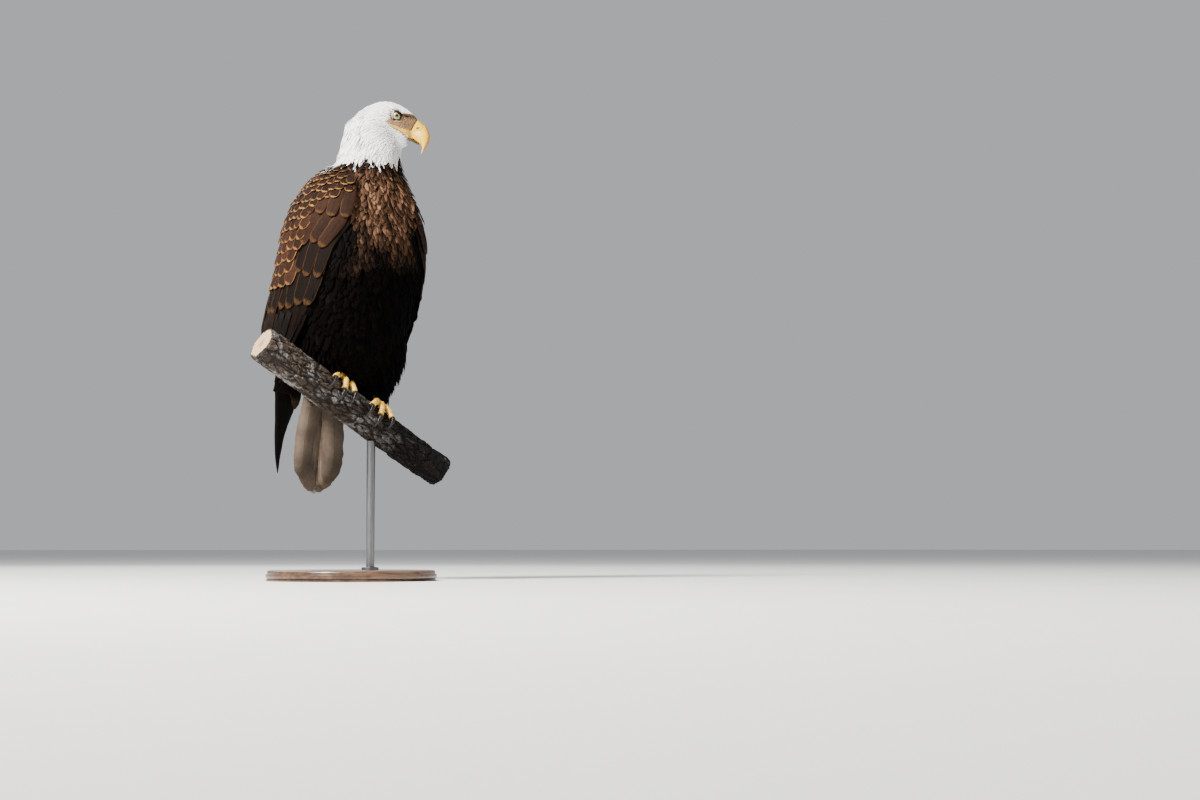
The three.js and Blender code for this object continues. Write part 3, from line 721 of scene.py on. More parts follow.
def scatter(parts, spacing, wanted, seed):
    """Places on those parts of the skin, evenly spread, no two closer than the spacing."""
    rng = np.random.default_rng(seed)
    in_part = np.isin(skin_labels[skin.triangles[:, 0]], parts)
    corners = skin.vertices[skin.triangles][in_part]
    normals = skin.face_normals[in_part]
    area = np.linalg.norm(np.cross(corners[:, 1] - corners[:, 0], corners[:, 2] - corners[:, 0]), axis=1) / 2
    count = int(area.sum() / spacing ** 2 * 5)
    chosen = rng.choice(len(area), count, p=area / area.sum())
    u, v = rng.uniform(size=(2, count, 1))
    fold = (u + v) > 1
    u, v = np.where(fold, 1 - u, u), np.where(fold, 1 - v, v)
    a, b, c = corners[chosen].transpose(1, 0, 2)
    points = a + (b - a) * u + (c - a) * v
    keep = wanted(points, skin_labels[skin.triangles[in_part][chosen, 0]])
    points, chosen = points[keep], chosen[keep]
    kept = thinned(points, spacing)
    return points[kept], normals[chosen[kept]]


def lay(roots, normals, lengths, steps, stray, seed, hang=2.0):
    """Middle lines of feathers that start at the roots and follow the lie of the coat over the skin.

    From the step called hang on, a feather leaves the skin and its end hangs freely."""
    rng = np.random.default_rng(seed)
    turn = rng.normal(0, stray, len(roots))[:, None]
    line, line_normals = [roots], [normals]
    place, normal = roots, normals
    heading = lie(roots)
    for step, share in zip(steps, np.diff(steps)):
        heading = blend(heading, lie(place), 0.6)
        if step < hang:
            heading = unit(heading - normal * dot(heading, normal)[:, None])
            turned = heading * np.cos(turn) + np.cross(normal, heading) * np.sin(turn)
            place, normal, _ = skin.nearest(place + turned * (lengths * share)[:, None])
        else:
            heading = unit(blend(heading, lie(place), 0.5))
            place = place + heading * (lengths * share)[:, None]
            normal = unit(normal - heading * dot(normal, heading)[:, None])
        line.append(place)
        line_normals.append(normal)
    return np.stack(line, 1), np.stack(line_normals, 1)


def vane_faces(rows, columns):
    """The quads and the two end faces of a closed vane. Each row holds the top's places, then two below."""
    per_row = columns + 2
    row, column = np.meshgrid(np.arange(rows - 1), np.arange(columns - 1), indexing="ij")
    here = row * per_row + column
    sheet = np.stack((here, here + 1, here + per_row + 1, here + per_row), -1).reshape(-1, 4)
    start = np.arange(rows - 1) * per_row + columns
    under = np.stack((start, start + per_row, start + per_row + 1, start + 1), -1)
    left = np.stack((start, start - columns, start - columns + per_row, start + per_row), -1)
    right = np.stack((start - 1, start + 1, start + 1 + per_row, start - 1 + per_row), -1)
    rim = np.array([*range(columns), columns + 1, columns])
    return np.concatenate((sheet, under, left, right)), np.stack((rim[::-1], rim + (rows - 1) * per_row))


def grow(name, lines, steps, style, slot, material, seed):
    """One piece of closed vanes along middle lines.

    style gives their width, outline, tone and fringe, how far root and tip stand off (rise) and each one's
    layer, the camber and droop of the vane, its patch on the map, and how much roll, fray and so on vary."""
    points, normals = lines
    rng = np.random.default_rng(seed)
    count, rows = points.shape[:2]
    columns = np.linspace(-1, 1, style.get("columns", 5))
    ahead = unit(np.gradient(points, axis=1))
    across = unit(np.cross(ahead, normals))
    upward = np.cross(across, ahead)
    roll = rng.normal(0, style.get("roll", 0.06), (count, 1, 1))
    level, steep = np.cos(roll), np.sin(roll)
    across, upward = across * level + upward * steep, upward * level - across * steep
    across, upward = across[:, :, None], upward[:, :, None]
    width = np.broadcast_to(style["width"], count)
    half = (width[:, None] / 2 * along(style["outline"], steps))[..., None, None]
    fray = 1 + style.get("fray", 0.06) * rng.normal(size=(count, rows, 2))
    low, high = style["rise"]
    lift = low + (high - low) * steps + rng.normal(0, style.get("loose", 0.0003), (count, 1)) * steps
    lift = lift + np.asarray(style.get("layer", 0.0)).reshape(-1, 1)
    t = columns[None, None, :, None]
    side_fray = np.where(t < 0, fray[:, :, :1, None], fray[:, :, 1:, None])
    thick = style["camber"] * half * (1 - t ** 2) + VANE_THICKNESS
    spread = t * half * blend(1, side_fray, np.abs(t))
    droop = style.get("droop", 0.0) * half * t ** 2
    top = points[:, :, None] + across * spread + upward * (lift[..., None, None] + thick)
    top = top - upward * droop
    bottom = top[:, :, [0, -1]] - upward * VANE_THICKNESS
    vertices = np.concatenate((top, bottom), 2)
    per_row = vertices.shape[2]
    offsets = (np.arange(count) * rows * per_row)[:, None, None]
    faces = [(part[None] + offsets).reshape(-1, part.shape[1]) for part in vane_faces(rows, len(columns))]
    thing = new_object(name, vertices.reshape(-1, 3), faces, slot, material)
    vertex_t = np.broadcast_to(np.concatenate((columns, (-1, 1))), (count, rows, per_row))
    vertex_s = np.broadcast_to(steps[:, None], (count, rows, per_row))
    unwrap(thing, "vane", np.stack((0.5 + 0.5 * vertex_t, vertex_s), -1).reshape(-1, 2))
    home = home_on_map(points[:, 0])
    patch = style.get("patch", 0.003)
    spot = np.stack((vertex_t * 0.5, vertex_s - 0.5), -1) * patch + home[:, None, None]
    unwrap(thing, "OFBake", spot.reshape(-1, 2))
    tone = np.asarray(style["tone"])
    tone = np.broadcast_to(tone[:, None, None] if tone.ndim == 2 else tone, (count, rows, per_row, 3))
    glow = 1 + rng.normal(0, style.get("vary", 0.08), (count, 1, 1, 1))
    fringe = np.broadcast_to(np.asarray(style.get("fringe", 0.0)).reshape(-1, 1, 1), (count, rows, per_row))
    paint(thing, tone=np.clip(tone * glow, 0, 0.95).reshape(-1, 3), fringe=fringe.reshape(-1))


def home_on_map(roots):
    """Where each root lies on the skin unrolled round the body's middle line, stretched to fill the map."""
    flat = np.stack((np.radians(degrees_round(roots)), roots[:, 2]), -1)
    low, high = flat.min(0), flat.max(0)
    return 0.03 + 0.94 * (flat - low) / np.maximum(high - low, 1e-6)


white_vanes = feather_material("feathers_white", (0.9, 0.88, 0.86, 1), 0.05, 0.75)
breast_vanes = feather_material("feathers_breast", (0.17, 0.092, 0.050, 1), 0.18, 0.84, gloss=0.05)
belly_vanes = feather_material("feathers_belly", (0.016, 0.011, 0.009, 1), 0.16, 0.9, gloss=0.03)
covert_vanes = feather_material("feathers_covert", (0.27, 0.130, 0.044, 1), 0.18, 0.72, 0.84, gloss=0.08)
flight_vanes = feather_material("feathers_flight", (0.10, 0.052, 0.026, 1), 0.12, 0.7, 0.92, gloss=0.06)
tail_vanes = feather_material("feathers_tail", (0.070, 0.048, 0.034, 1), 0.11, 0.75, gloss=0.15)

SHORT_STEPS = np.array((0, 0.45, 0.8, 1))
BODY_STEPS = np.array((0, 0.25, 0.5, 0.7, 0.84, 0.93, 1))


BARE_RING = 0.0112  # round the eye
BROW_OVERHANG = 0.0050


def clear_of_eyes(points):
    """True outside the bare ring of skin round each eye, which the brow's feathers overhang."""
    clear = np.ones(len(points), bool)
    for side in SIDES.values():
        centre, out, forward, up = eye_frame(side)
        arms = points - centre
        upward, ahead = arms @ up, arms @ forward
        ring = BARE_RING - BROW_OVERHANG * ease(upward, 0.003, 0.007)
        clear &= (np.hypot(upward, ahead) > ring) | (arms @ out < 0)
    return clear


# The bare fold at the corner of the mouth, (forward, up) in mm in the head's frame.
GAPE_TOP = ((-3.5, -22), (0, -20.8), (7, -20.4), (16, -19.8), (27, -16.8), (38, -13.1), (44, -9))
GAPE_BOTTOM = ((-3.5, -24), (0, -26.6), (3, -28), (11, -27.5), (19, -26.2), (29, -28.4), (43, -31.6))


def clear_of_mouth(points):
    """True outside the bare fold at the corner of the mouth."""
    forward, left, up = head_mm(points).T
    fold = (forward > -3) & (np.abs(left) > 6)
    low = along(GAPE_BOTTOM, forward) + 0.4 - 3 * ease(forward, 30, 34)
    return ~(fold & (up < along(GAPE_TOP, forward) - 0.4) & (up > low))


# The white feathers' size: (mm from the bill's root, mm).
WHITE_LENGTHS_MM = ((8, 2.4), (25, 4), (40, 7), (70, 11), (110, 20), (150, 27))
WHITE_WIDTHS_MM = ((8, 1.1), (25, 1.7), (40, 2.4), (70, 3.6), (110, 5.4), (150, 7.2))


def build_head_coat():
    """Fine white feathers, shortest at the bill, long and pointed where the white ends."""
    rings = (
        ("face", 0.0013, 0.000, 0.042, SHORT_STEPS),
        ("crown", 0.0020, 0.040, 0.085, SHORT_STEPS),
        ("nape", 0.0034, 0.083, 0.135, BODY_STEPS),
        ("neck", 0.0050, 0.133, 0.300, BODY_STEPS),
    )
    for index, (name, spacing, near, far, steps) in enumerate(rings):

        def wanted(points, labels, near=near, far=far):
            reach = np.linalg.norm(points - BILL_ROOT, axis=1)
            clear = clear_of_eyes(points) & clear_of_mouth(points)
            return (reach >= near) & (reach < far) & clear & (white_edge(points) > 0)

        roots, normals = scatter(["head", "neck", "trunk", "wing"], spacing, wanted, 11 + index)
        reach = np.linalg.norm(roots - BILL_ROOT, axis=1) / MM
        lengths = along(WHITE_LENGTHS_MM, reach) * MM
        lengths *= np.random.default_rng(index).uniform(0.75, 1.5, len(lengths))
        depth = coat_depth(roots).mean()
        # clump lifts feathers into ridges; those in the hollows between ridges are painted darker as shade
        clump = wobble(roots * (1, 1, 0.4), 0.011, 7) * ease(reach, 45, 100)
        style = {
            "width": along(WHITE_WIDTHS_MM, reach) * MM, "outline": LANCE, "layer": clump * 0.0020,
            "tone": face_tone(roots, WHITE) * (1 - 0.55 * np.clip(-clump, 0, 1))[:, None],
            "rise": (0.0002, depth * 0.85), "camber": 0.2, "columns": 3 if steps is SHORT_STEPS else 5,
            "vary": 0.05, "loose": 0.1 * depth, "patch": 0.004, "fray": 0.1, "roll": 0.1,
        }
        lines = lay(roots, normals, lengths, steps, 0.12, 21 + index)
        grow("coat_" + name, lines, steps, style, "plumage_white", white_vanes, 31 + index)


# A body feather whose normals turn past this cosine from one step to the next would fold round a wing's edge,
# so it is left out.
SHARPEST_FOLD = 0.5
VENT_TOP = 0.40
WING_COVERTS_TOP = 0.735


def build_body_coat():
    """Brown feathers of the breast, belly, legs and back."""
    pieces = (  # name, spacing, heights, degrees round the body, length and width in mm, outline, material
        ("breast", 0.0050, (0.60, 0.83), (0, 105), 27, 9.5, DROP, breast_vanes),
        ("belly", 0.0066, (0.33, 0.60), (0, 120), 32, 13, DROP, belly_vanes),
        ("back", 0.0095, (0.36, 0.83), (105, 181), 32, 18, ROUND, covert_vanes),
        ("trousers", 0.0062, (0.33, 0.50), (0, 181), 44, 12, LANCE, belly_vanes),
    )
    parts = {"back": ["trunk", "neck", "wing"], "trousers": ["thigh"]}
    for index, (name, spacing, heights, span, length, width, outline, material) in enumerate(pieces):

        def wanted(points, labels, heights=heights, span=span):
            height = points[:, 2]
            turn = np.abs(degrees_round(points))
            ragged = 0.006 * wobble(points, 0.02, 9)
            inside = (height > heights[0]) & (height + ragged < heights[1])
            inside &= (turn >= span[0]) & (turn < span[1])
            vent = (height < VENT_TOP) & (turn > 110)
            covered = (labels == "wing") & (height < WING_COVERTS_TOP)
            return inside & ~vent & ~covered & (white_edge(points) < -0.001)

        roots, normals = scatter(parts.get(name, ["trunk", "neck"]), spacing, wanted, 41 + index)
        rng = np.random.default_rng(51 + index)
        near_neck = 1 - 0.35 * ease(roots[:, 2], 0.72, 0.80)
        lengths = length * near_neck * rng.uniform(0.85, 1.2, len(roots)) * MM
        light = rng.uniform(0, 1, (len(roots), 1)) ** 2.5
        streak = 1 + 0.45 * wobble(roots * (1, 1, 0.3), 0.012, 8)[:, None]
        spread = blend(0.8, 2.5, ease(roots[:, 2], 0.58, 0.67))[:, None]
        tone = brown_tone(roots) * (0.55 + spread * light) * streak
        edged = 0.6 if name == "back" else blend(0.03, 0.6, warmth(roots))
        fringe = rng.uniform(0.1, 1, len(roots)) * edged
        widths = width * near_neck * rng.uniform(0.8, 1.15, len(roots)) * MM
        hanging = name == "trousers"
        stray, hang = (0.16, 0.4) if hanging else (0.14, 2.0)
        points, turns = lay(roots, normals, lengths, BODY_STEPS, stray, 61 + index, hang)
        flat = hanging | (dot(turns[:, :-1], turns[:, 1:]).min(1) > SHARPEST_FOLD)
        style = {
            "width": widths[flat], "outline": outline, "tone": tone[flat], "fringe": fringe[flat],
            "rise": (0.0005, 0.0075), "camber": 0.12, "columns": 5 if name == "breast" else 7,
            "vary": 0.15, "loose": 0.0008, "patch": 0.008, "fray": 0.1, "roll": 0.1,
        }
        lines = points[flat], turns[flat]
        grow("coat_" + name, lines, BODY_STEPS, style, "plumage_brown", material, 71 + index)


def build_vent_coat():
    """Feathers under the root of the tail, pale at the back and painted in shade on the front."""

    def wanted(points, labels):
        behind = (np.abs(degrees_round(points)) > 100) & (np.abs(points[:, 0]) < 0.05)
        return behind & (points[:, 2] < 0.41) & (points[:, 2] > 0.35)

    roots, normals = scatter(["trunk", "tail"], 0.008, wanted, 81)
    style = {
        "width": 0.015, "outline": DROP, "rise": (0.0005, 0.005), "camber": 0.15, "columns": 7,
        # painted shade on the feathers facing front, pale where they face back
        "tone": layered(TAIL_SHADE * 0.7, (TAIL_PALE, ease(normals[:, 1], 0.5, 0.9))),
        "vary": 0.1, "loose": 0.001, "patch": 0.008, "roll": 0.1,
    }
    lines = lay(roots, normals, np.full(len(roots), 0.045), BODY_STEPS, 0.1, 82)
    grow("coat_vent", lines, BODY_STEPS, style, "plumage_white", tail_vanes, 83)


build_head_coat()
build_body_coat()
build_vent_coat()

# ---------------------------------------------------------------- wings


class WingChart:
    """A wing's outer surface, by height and by the share of the way from its front edge to its rear."""

    def __init__(self, side):
        parts = [f"wing_{side}_{part}" for part in ("coverts", "secondaries", "primaries")]
        shell = surface_of(joined_cad(parts, "wing"))
        lowest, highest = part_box(parts[2])[0].z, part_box(parts[0])[1].z
        self.heights = np.linspace(lowest + 0.003, highest - 0.006, 120)
        self.shares = np.linspace(0, 1, 41)
        rows = []
        for height in self.heights:
            axis = axis_at(np.array(height))
            hits = []
            for degrees in np.arange(14, 178, 1.0):
                turn = math.radians(degrees) * -SIDES[side]
                away = np.array((-math.sin(turn), -math.cos(turn), 0))
                hit = shell.cast(axis + away * 0.4, -away)
                if hit is not None:
                    hits.append(hit)
            hits = np.array(hits)
            reach = np.linalg.norm(np.diff(hits, axis=0), axis=1)
            travelled = np.concatenate(((0,), np.cumsum(reach)))
            shares = travelled / travelled[-1]
            rows.append([[np.interp(s, shares, hits[:, k]) for k in range(3)] for s in self.shares])
        self.places = np.array(rows)
        for _ in range(2):
            self.places[1:-1] = (self.places[:-2] + 2 * self.places[1:-1] + self.places[2:]) / 4
        along_share = np.gradient(self.places, axis=1)
        along_height = np.gradient(self.places, axis=0)
        self.normals = unit(np.cross(along_share, along_height) * -SIDES[side])
        middle = self.places - axis_at(self.places[..., 2])
        if dot(middle, self.normals).mean() < 0:
            self.normals = -self.normals
        self.widths = np.linalg.norm(np.diff(self.places, axis=1), axis=2).sum(1)

    def at(self, heights, shares):
        """Places and normals on the wing."""
        row = np.interp(heights, self.heights, np.arange(len(self.heights)))
        col = np.clip(shares, 0, 1) * (len(self.shares) - 1)
        i = np.minimum(row.astype(int), len(self.heights) - 2)
        j = np.minimum(col.astype(int), len(self.shares) - 2)
        a, b = (row - i)[..., None], (col - j)[..., None]
        found = []
        for grid in (self.places, self.normals):
            upper = grid[i, j] * (1 - b) + grid[i, j + 1] * b
            lower = grid[i + 1, j] * (1 - b) + grid[i + 1, j + 1] * b
            found.append(upper * (1 - a) + lower * a)
        return found[0], unit(found[1])

    def width(self, height):
        return np.interp(height, self.heights, self.widths)


def chart_lines(chart, starts, ends, steps):
    """Middle lines between places on a wing's chart. starts and ends are (height, share) pairs."""
    starts, ends = np.asarray(starts), np.asarray(ends)
    heights = blend(starts[:, :1], ends[:, :1], steps)
    shares = blend(starts[:, 1:], ends[:, 1:], steps)
    return chart.at(heights, shares)


# How wide a covert's cell is: (mm above the floor, mm). And how high the primaries end, the longest first.
COVERT_CELLS_MM = ((548, 26), (640, 22), (700, 17), (752, 13))
LOWEST_COVERT = 0.548
COVERT_LENGTH, COVERT_PITCH = 2.3, 0.92  # in cells
PRIMARY_TIPS = (0.201, 0.205, 0.214, 0.228, 0.247, 0.270, 0.292, 0.312, 0.335)


def covert_tones(heights, rng):
    """Nearly black centres at the wing's top, warmer brown ones lower down."""
    warmth = blend(0.75, 1.5, ease(heights, 0.72, 0.62)) * rng.uniform(0.75, 1.4, len(heights))
    return BACK * warmth[:, None]


def build_coverts(side, chart, seed):
    """Rows of scalloped coverts, each row over the next, with a plain strip at the wing's front."""
    rng = np.random.default_rng(seed)
    starts, ends, widths, layers = [], [], [], []
    tip = chart.heights[-1] - 0.014
    row = 0
    while tip > LOWEST_COVERT:
        cell = along(COVERT_CELLS_MM, tip / MM) * MM
        count = max(3, round(chart.width(tip) / cell))
        front = 0.30 * ease(tip, 0.715, 0.68)
        for k in range(count + 1):
            share = (k + 0.5 * (row % 2)) / count + rng.normal(0, 0.1 / count)
            if front <= share <= 1.0:
                end = tip + rng.normal(0, 0.0016)
                starts.append((min(end + cell * COVERT_LENGTH, chart.heights[-1]), share))
                ends.append((end, share + 0.01))
                widths.append(cell * rng.uniform(1.12, 1.3))
                layers.append(0.0004 * rng.normal())
        tip -= cell * COVERT_PITCH
        row += 1
    style = {
        "width": np.array(widths), "outline": ROUND, "tone": covert_tones(np.array(ends)[:, 0], rng),
        "fringe": rng.uniform(0.55, 1, len(starts)), "rise": (-0.008, 0.0006), "camber": 0.1, "columns": 9,
        "vary": 0.16, "patch": 0.02, "layer": np.array(layers), "fray": 0.05, "roll": 0.05, "droop": 0.08,
    }
    lines = chart_lines(chart, starts, ends, BODY_STEPS)
    grow(f"coverts_{side}", lines, BODY_STEPS, style, "plumage_brown", covert_vanes, seed + 1)


def build_flight(side, chart, seed):
    """The wing's long feathers: plain brown ones at its front, then secondaries and primaries."""
    rng = np.random.default_rng(seed)
    steps = np.linspace(0, 1, 22) ** 0.9
    groups = {
        group: ([], [], [], []) for group in ("plain", "tertials", "secondaries", "primaries")
    }

    def add(group, start, end, width, layer):
        for values, value in zip(groups[group], (start, end, width * MM, layer * MM)):
            values.append(value)

    for row, (top, bottom) in enumerate(((0.745, 0.668), (0.715, 0.612), (0.675, 0.56))):
        for k in range(4):
            share = 0.02 + 0.1 * k + 0.03 * (row % 2)
            end = bottom + 0.004 * k + rng.normal(0, 0.003)
            add("plain", (top, share), (end, share + 0.02), 25, -1.2 * row - 0.4 * k)
    for k in range(10):
        share = (k + 0.5) / 10
        add("plain", (0.63, share), (0.513 - 0.022 * share + rng.normal(0, 0.003), share), 30, -3.5 + 0.1 * k)
    for k in range(5):
        share = 0.50 + 0.115 * k
        end = (0.452 - 0.012 * k + rng.normal(0, 0.003), share - 0.02)
        add("tertials", (0.60, share), end, 42, -4.4 + 0.4 * k)
    for share in np.linspace(0, 1, 10):
        start = (0.58, 0.06 + 0.86 * share)
        end = (blend(0.392, 0.340, share) + rng.normal(0, 0.006), 0.08 + 0.84 * share)
        add("secondaries", start, end, blend(27, 36, share), -6.5 + 2.25 * share)
    for k, bottom in enumerate(PRIMARY_TIPS):
        share = 0.30 + 0.085 * k
        add("primaries", (0.50, 0.2 + 0.09 * k), (bottom + 0.002, share), 25, -2.4 + 0.28 * k)
    looks = {
        "plain": (BACK * 1.2, covert_vanes, BLADE, 0.14, 0.10, (-0.006, 0.0)),
        "tertials": (BACK * 0.7, flight_vanes, BLADE, 0.5, 0.08, (-0.003, 0.0)),
        "secondaries": (BACK * 0.3, flight_vanes, BLADE, 0.4, 0.08, (-0.002, 0.0)),
        "primaries": (FLIGHT, flight_vanes, POINTED, 0.15, 0.07, (-0.002, 0.0)),
    }
    for index, (group, (tone, material, outline, fringe, camber, rise)) in enumerate(looks.items()):
        starts, ends, widths, layers = groups[group]
        lit = blend(0.2, rng.uniform(0.8, 1.5, len(ends)), ease(np.array(ends)[:, 0], 0.55, 0.64))
        tones = np.outer(lit if group == "plain" else np.ones(len(ends)), tone)
        style = {
            "width": np.array(widths), "outline": outline, "tone": tones,
            "fringe": fringe, "rise": rise, "camber": camber, "columns": 9, "vary": 0.12,
            "patch": 0.06, "layer": np.array(layers), "fray": 0.02, "roll": 0.03, "loose": 0.0002,
        }
        lines = chart_lines(chart, starts, ends, steps)
        slot = "plumage_brown" if group == "plain" else "plumage_dark"
        grow(f"{group}_{side}", lines, steps, style, slot, material, seed + 2 + index)


for number, side_name in enumerate(SIDES):
    wing_chart = WingChart(side_name)
    build_coverts(side_name, wing_chart, 101 + 20 * number)
    build_flight(side_name, wing_chart, 111 + 20 * number)

# ---------------------------------------------------------------- tail

RECTRICES = 12
RECTRIX_WIDTH = 0.043


def build_tail():
    """Twelve broad tail feathers, the middle pair at the back and each outer one in front of the last."""
    shell = surface_of(joined_cad(["tail"], "tail"))
    low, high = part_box("tail")
    middle = (low.x + high.x) / 2
    steps = np.linspace(0, 1, 26)
    lines, tones = [], []
    rng = np.random.default_rng(151)
    for k in range(RECTRICES):
        out = (k - (RECTRICES - 1) / 2) / ((RECTRICES - 1) / 2)
        rank = abs(out)
        tip = low.z + 0.004 + 0.026 * rank ** 2.2 + rng.uniform(0, 0.006)
        heights = blend(0.40, tip, steps)
        spread = along(((0, 0.010), (0.35, 0.026), (0.75, 0.034), (1, 0.033)), steps)
        line = []
        for height, reach in zip(heights, spread):
            x = middle + out * reach * ease(height, tip - 0.01, tip + 0.03) ** 0.1
            front = shell.cast((x, -0.3, max(height, low.z + 0.012)), (0, 1, 0))
            back = shell.cast((x, 0.5, max(height, low.z + 0.012)), (0, -1, 0))
            y = blend(back.y, front.y, 0.1 + 0.76 * rank ** 0.8) if front and back else line[-1][1]
            line.append((x, y, height))
        lines.append(line)
        # painted shade: the outer feathers, which lie in front, take the shaded colour, the middle ones the
        # dimmed white
        own = blend(TAIL_PALE, TAIL_SHADE * rng.uniform(0.75, 1.5), ease(rank, 0.05, 0.4))
        blotch = 1 + 0.5 * wobble(np.array(line) * (1, 1, 0.5), 0.016, 153)
        # painted shade: each feather is darker towards its root under the branch; blotch is the real mottling
        tones.append(blend(own * 0.45, own, ease(steps, 0.1, 0.6)[:, None]) * blotch[:, None])
    lines = np.array(lines)
    lines[:, 1:-1] = (lines[:, :-2] + lines[:, 1:-1] + lines[:, 2:]) / 3
    style = {
        "width": RECTRIX_WIDTH, "outline": BLADE, "tone": np.array(tones)[:, :, None], "fringe": 0.5,
        "rise": (0.0, 0.0), "camber": 0.05, "columns": 9, "vary": 0.08, "patch": 0.07, "fray": 0.04,
        "roll": 0.05, "loose": 0.0002,
    }
    normals = np.broadcast_to((0.0, 1.0, 0.0), lines.shape)
    grow("rectrices", (lines, normals), steps, style, "plumage_white", tail_vanes, 152)


build_tail()

# ---------------------------------------------------------------- eyes


def turned(profile, centre, axis, steps):
    """The vertices, faces and angles of a round shape from (radius, height) pairs along an axis."""
    axis = unit(np.asarray(axis, float))
    helper = np.array((0, 0, 1.0)) if abs(axis[2]) < 0.9 else np.array((1.0, 0, 0))
    first = unit(np.cross(axis, helper))
    second = np.cross(axis, first)
    angles = np.linspace(0, math.tau, steps, endpoint=False)
    ring = np.outer(np.cos(angles), first) + np.outer(np.sin(angles), second)
    profile = np.array(profile, float)
    vertices = centre + profile[:, None, :1] * ring + profile[:, None, 1:] * axis
    faces = [tube_faces(len(profile), steps), tube_ends(len(profile), steps)]
    return vertices.reshape(-1, 3), faces, np.tile(angles, len(profile))


PUPIL_MM = 3.15
IRIS_MM = 7.0
CORNEA_RADIUS_MM = 10.4
DOME_RIM_MM = 7.8
EYE_STEPS = 96
IRIS_OLIVE = np.array((0.17, 0.145, 0.055))
IRIS_YELLOW = np.array((0.36, 0.32, 0.13))
EYE_DARK = np.array((0.02, 0.018, 0.015))


def build_eye(side):
    """A ball with a domed front: black pupil, pale yellow iris with fine rays, and a dark rim."""
    centre, out, _, _ = eye_frame(SIDES[side])
    rim_height = math.sqrt(EYE_RADIUS_MM ** 2 - DOME_RIM_MM ** 2)
    dome_sink = math.sqrt(CORNEA_RADIUS_MM ** 2 - DOME_RIM_MM ** 2)
    ball = [(EYE_RADIUS_MM * math.sin(a), EYE_RADIUS_MM * math.cos(a)) for a in np.linspace(3.1, 0.80, 24)]
    dome = [
        (radius, rim_height + math.sqrt(CORNEA_RADIUS_MM ** 2 - radius ** 2) - dome_sink)
        for radius in np.linspace(DOME_RIM_MM, 0.05, 40)
    ]
    profile = np.array(ball + dome) * MM
    vertices, faces, angles = turned(profile, centre, out, EYE_STEPS)
    radius = np.repeat(profile[:, 0] / MM, EYE_STEPS)
    rays = 0.5 + 0.25 * np.sin(23 * angles + 2 * np.sin(7 * angles)) + 0.25 * np.sin(41 * angles + radius)
    shade = blend(0.6, 1.0, ease(radius, PUPIL_MM, PUPIL_MM + 1.2)) * ease(radius, IRIS_MM + 1, IRIS_MM - 1.6)
    iris = blend(IRIS_OLIVE, IRIS_YELLOW, rays[:, None]) * shade[:, None]
    tone = layered(iris, (EYE_DARK, ease(radius, IRIS_MM - 0.7, IRIS_MM)))
    tone = np.where((radius < PUPIL_MM)[:, None], 0.002, tone)
    tone[:len(ball) * EYE_STEPS] = EYE_DARK
    wet = toned_material(f"eye_{side}", 0.25, 0.0004, 0.08, 0.00001, Coat_Weight=1.0, Coat_Roughness=0.02)
    thing = new_object(f"eyeball_{side}", vertices, faces, "eye", wet, tone=tone)
    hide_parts(f"eye_{side}")


for side_name in SIDES:
    build_eye(side_name)

# ---------------------------------------------------------------- bill

CERE = np.array((0.70, 0.42, 0.022))
HORN = np.array((0.80, 0.47, 0.025))
# the pale horn of the hook, also used for the painted sheen on the bill's side
PALE_HORN_AND_SHEEN = np.array((0.86, 0.74, 0.42))
HORN_ORANGE = np.array((0.52, 0.165, 0.003))
# the dark of painted shade along the mouth and inside the nostrils
MOUTH_SHADE = np.array((0.05, 0.03, 0.02))
BILL_VOXEL = 0.0007
LOWER_TUCK_MM = 2.3
NOSTRIL = (46.2, -5.0)
NOSTRIL_TILT = math.radians(-42)
# How far forward the cere reaches: (up, forward) in mm in the head's frame.
CERE_EDGE = (
    (-48, 30), (-18, 37), (-15.2, 42), (-11.5, 46), (-8, 50), (-5, 52.6), (-2, 53.6), (1, 53.2), (4, 52),
    (8, 50), (12, 48),
)


def finish_piece(name, node_name, mesh, vertices, tone, slot, material):
    """A smooth replacement for one CAD node, with its vertices moved and painted."""
    triangles = mesh_arrays(mesh)[1]
    thing = new_object(name, vertices, [triangles], slot, material, tone=np.clip(tone, 0, 0.95))
    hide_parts(node_name)


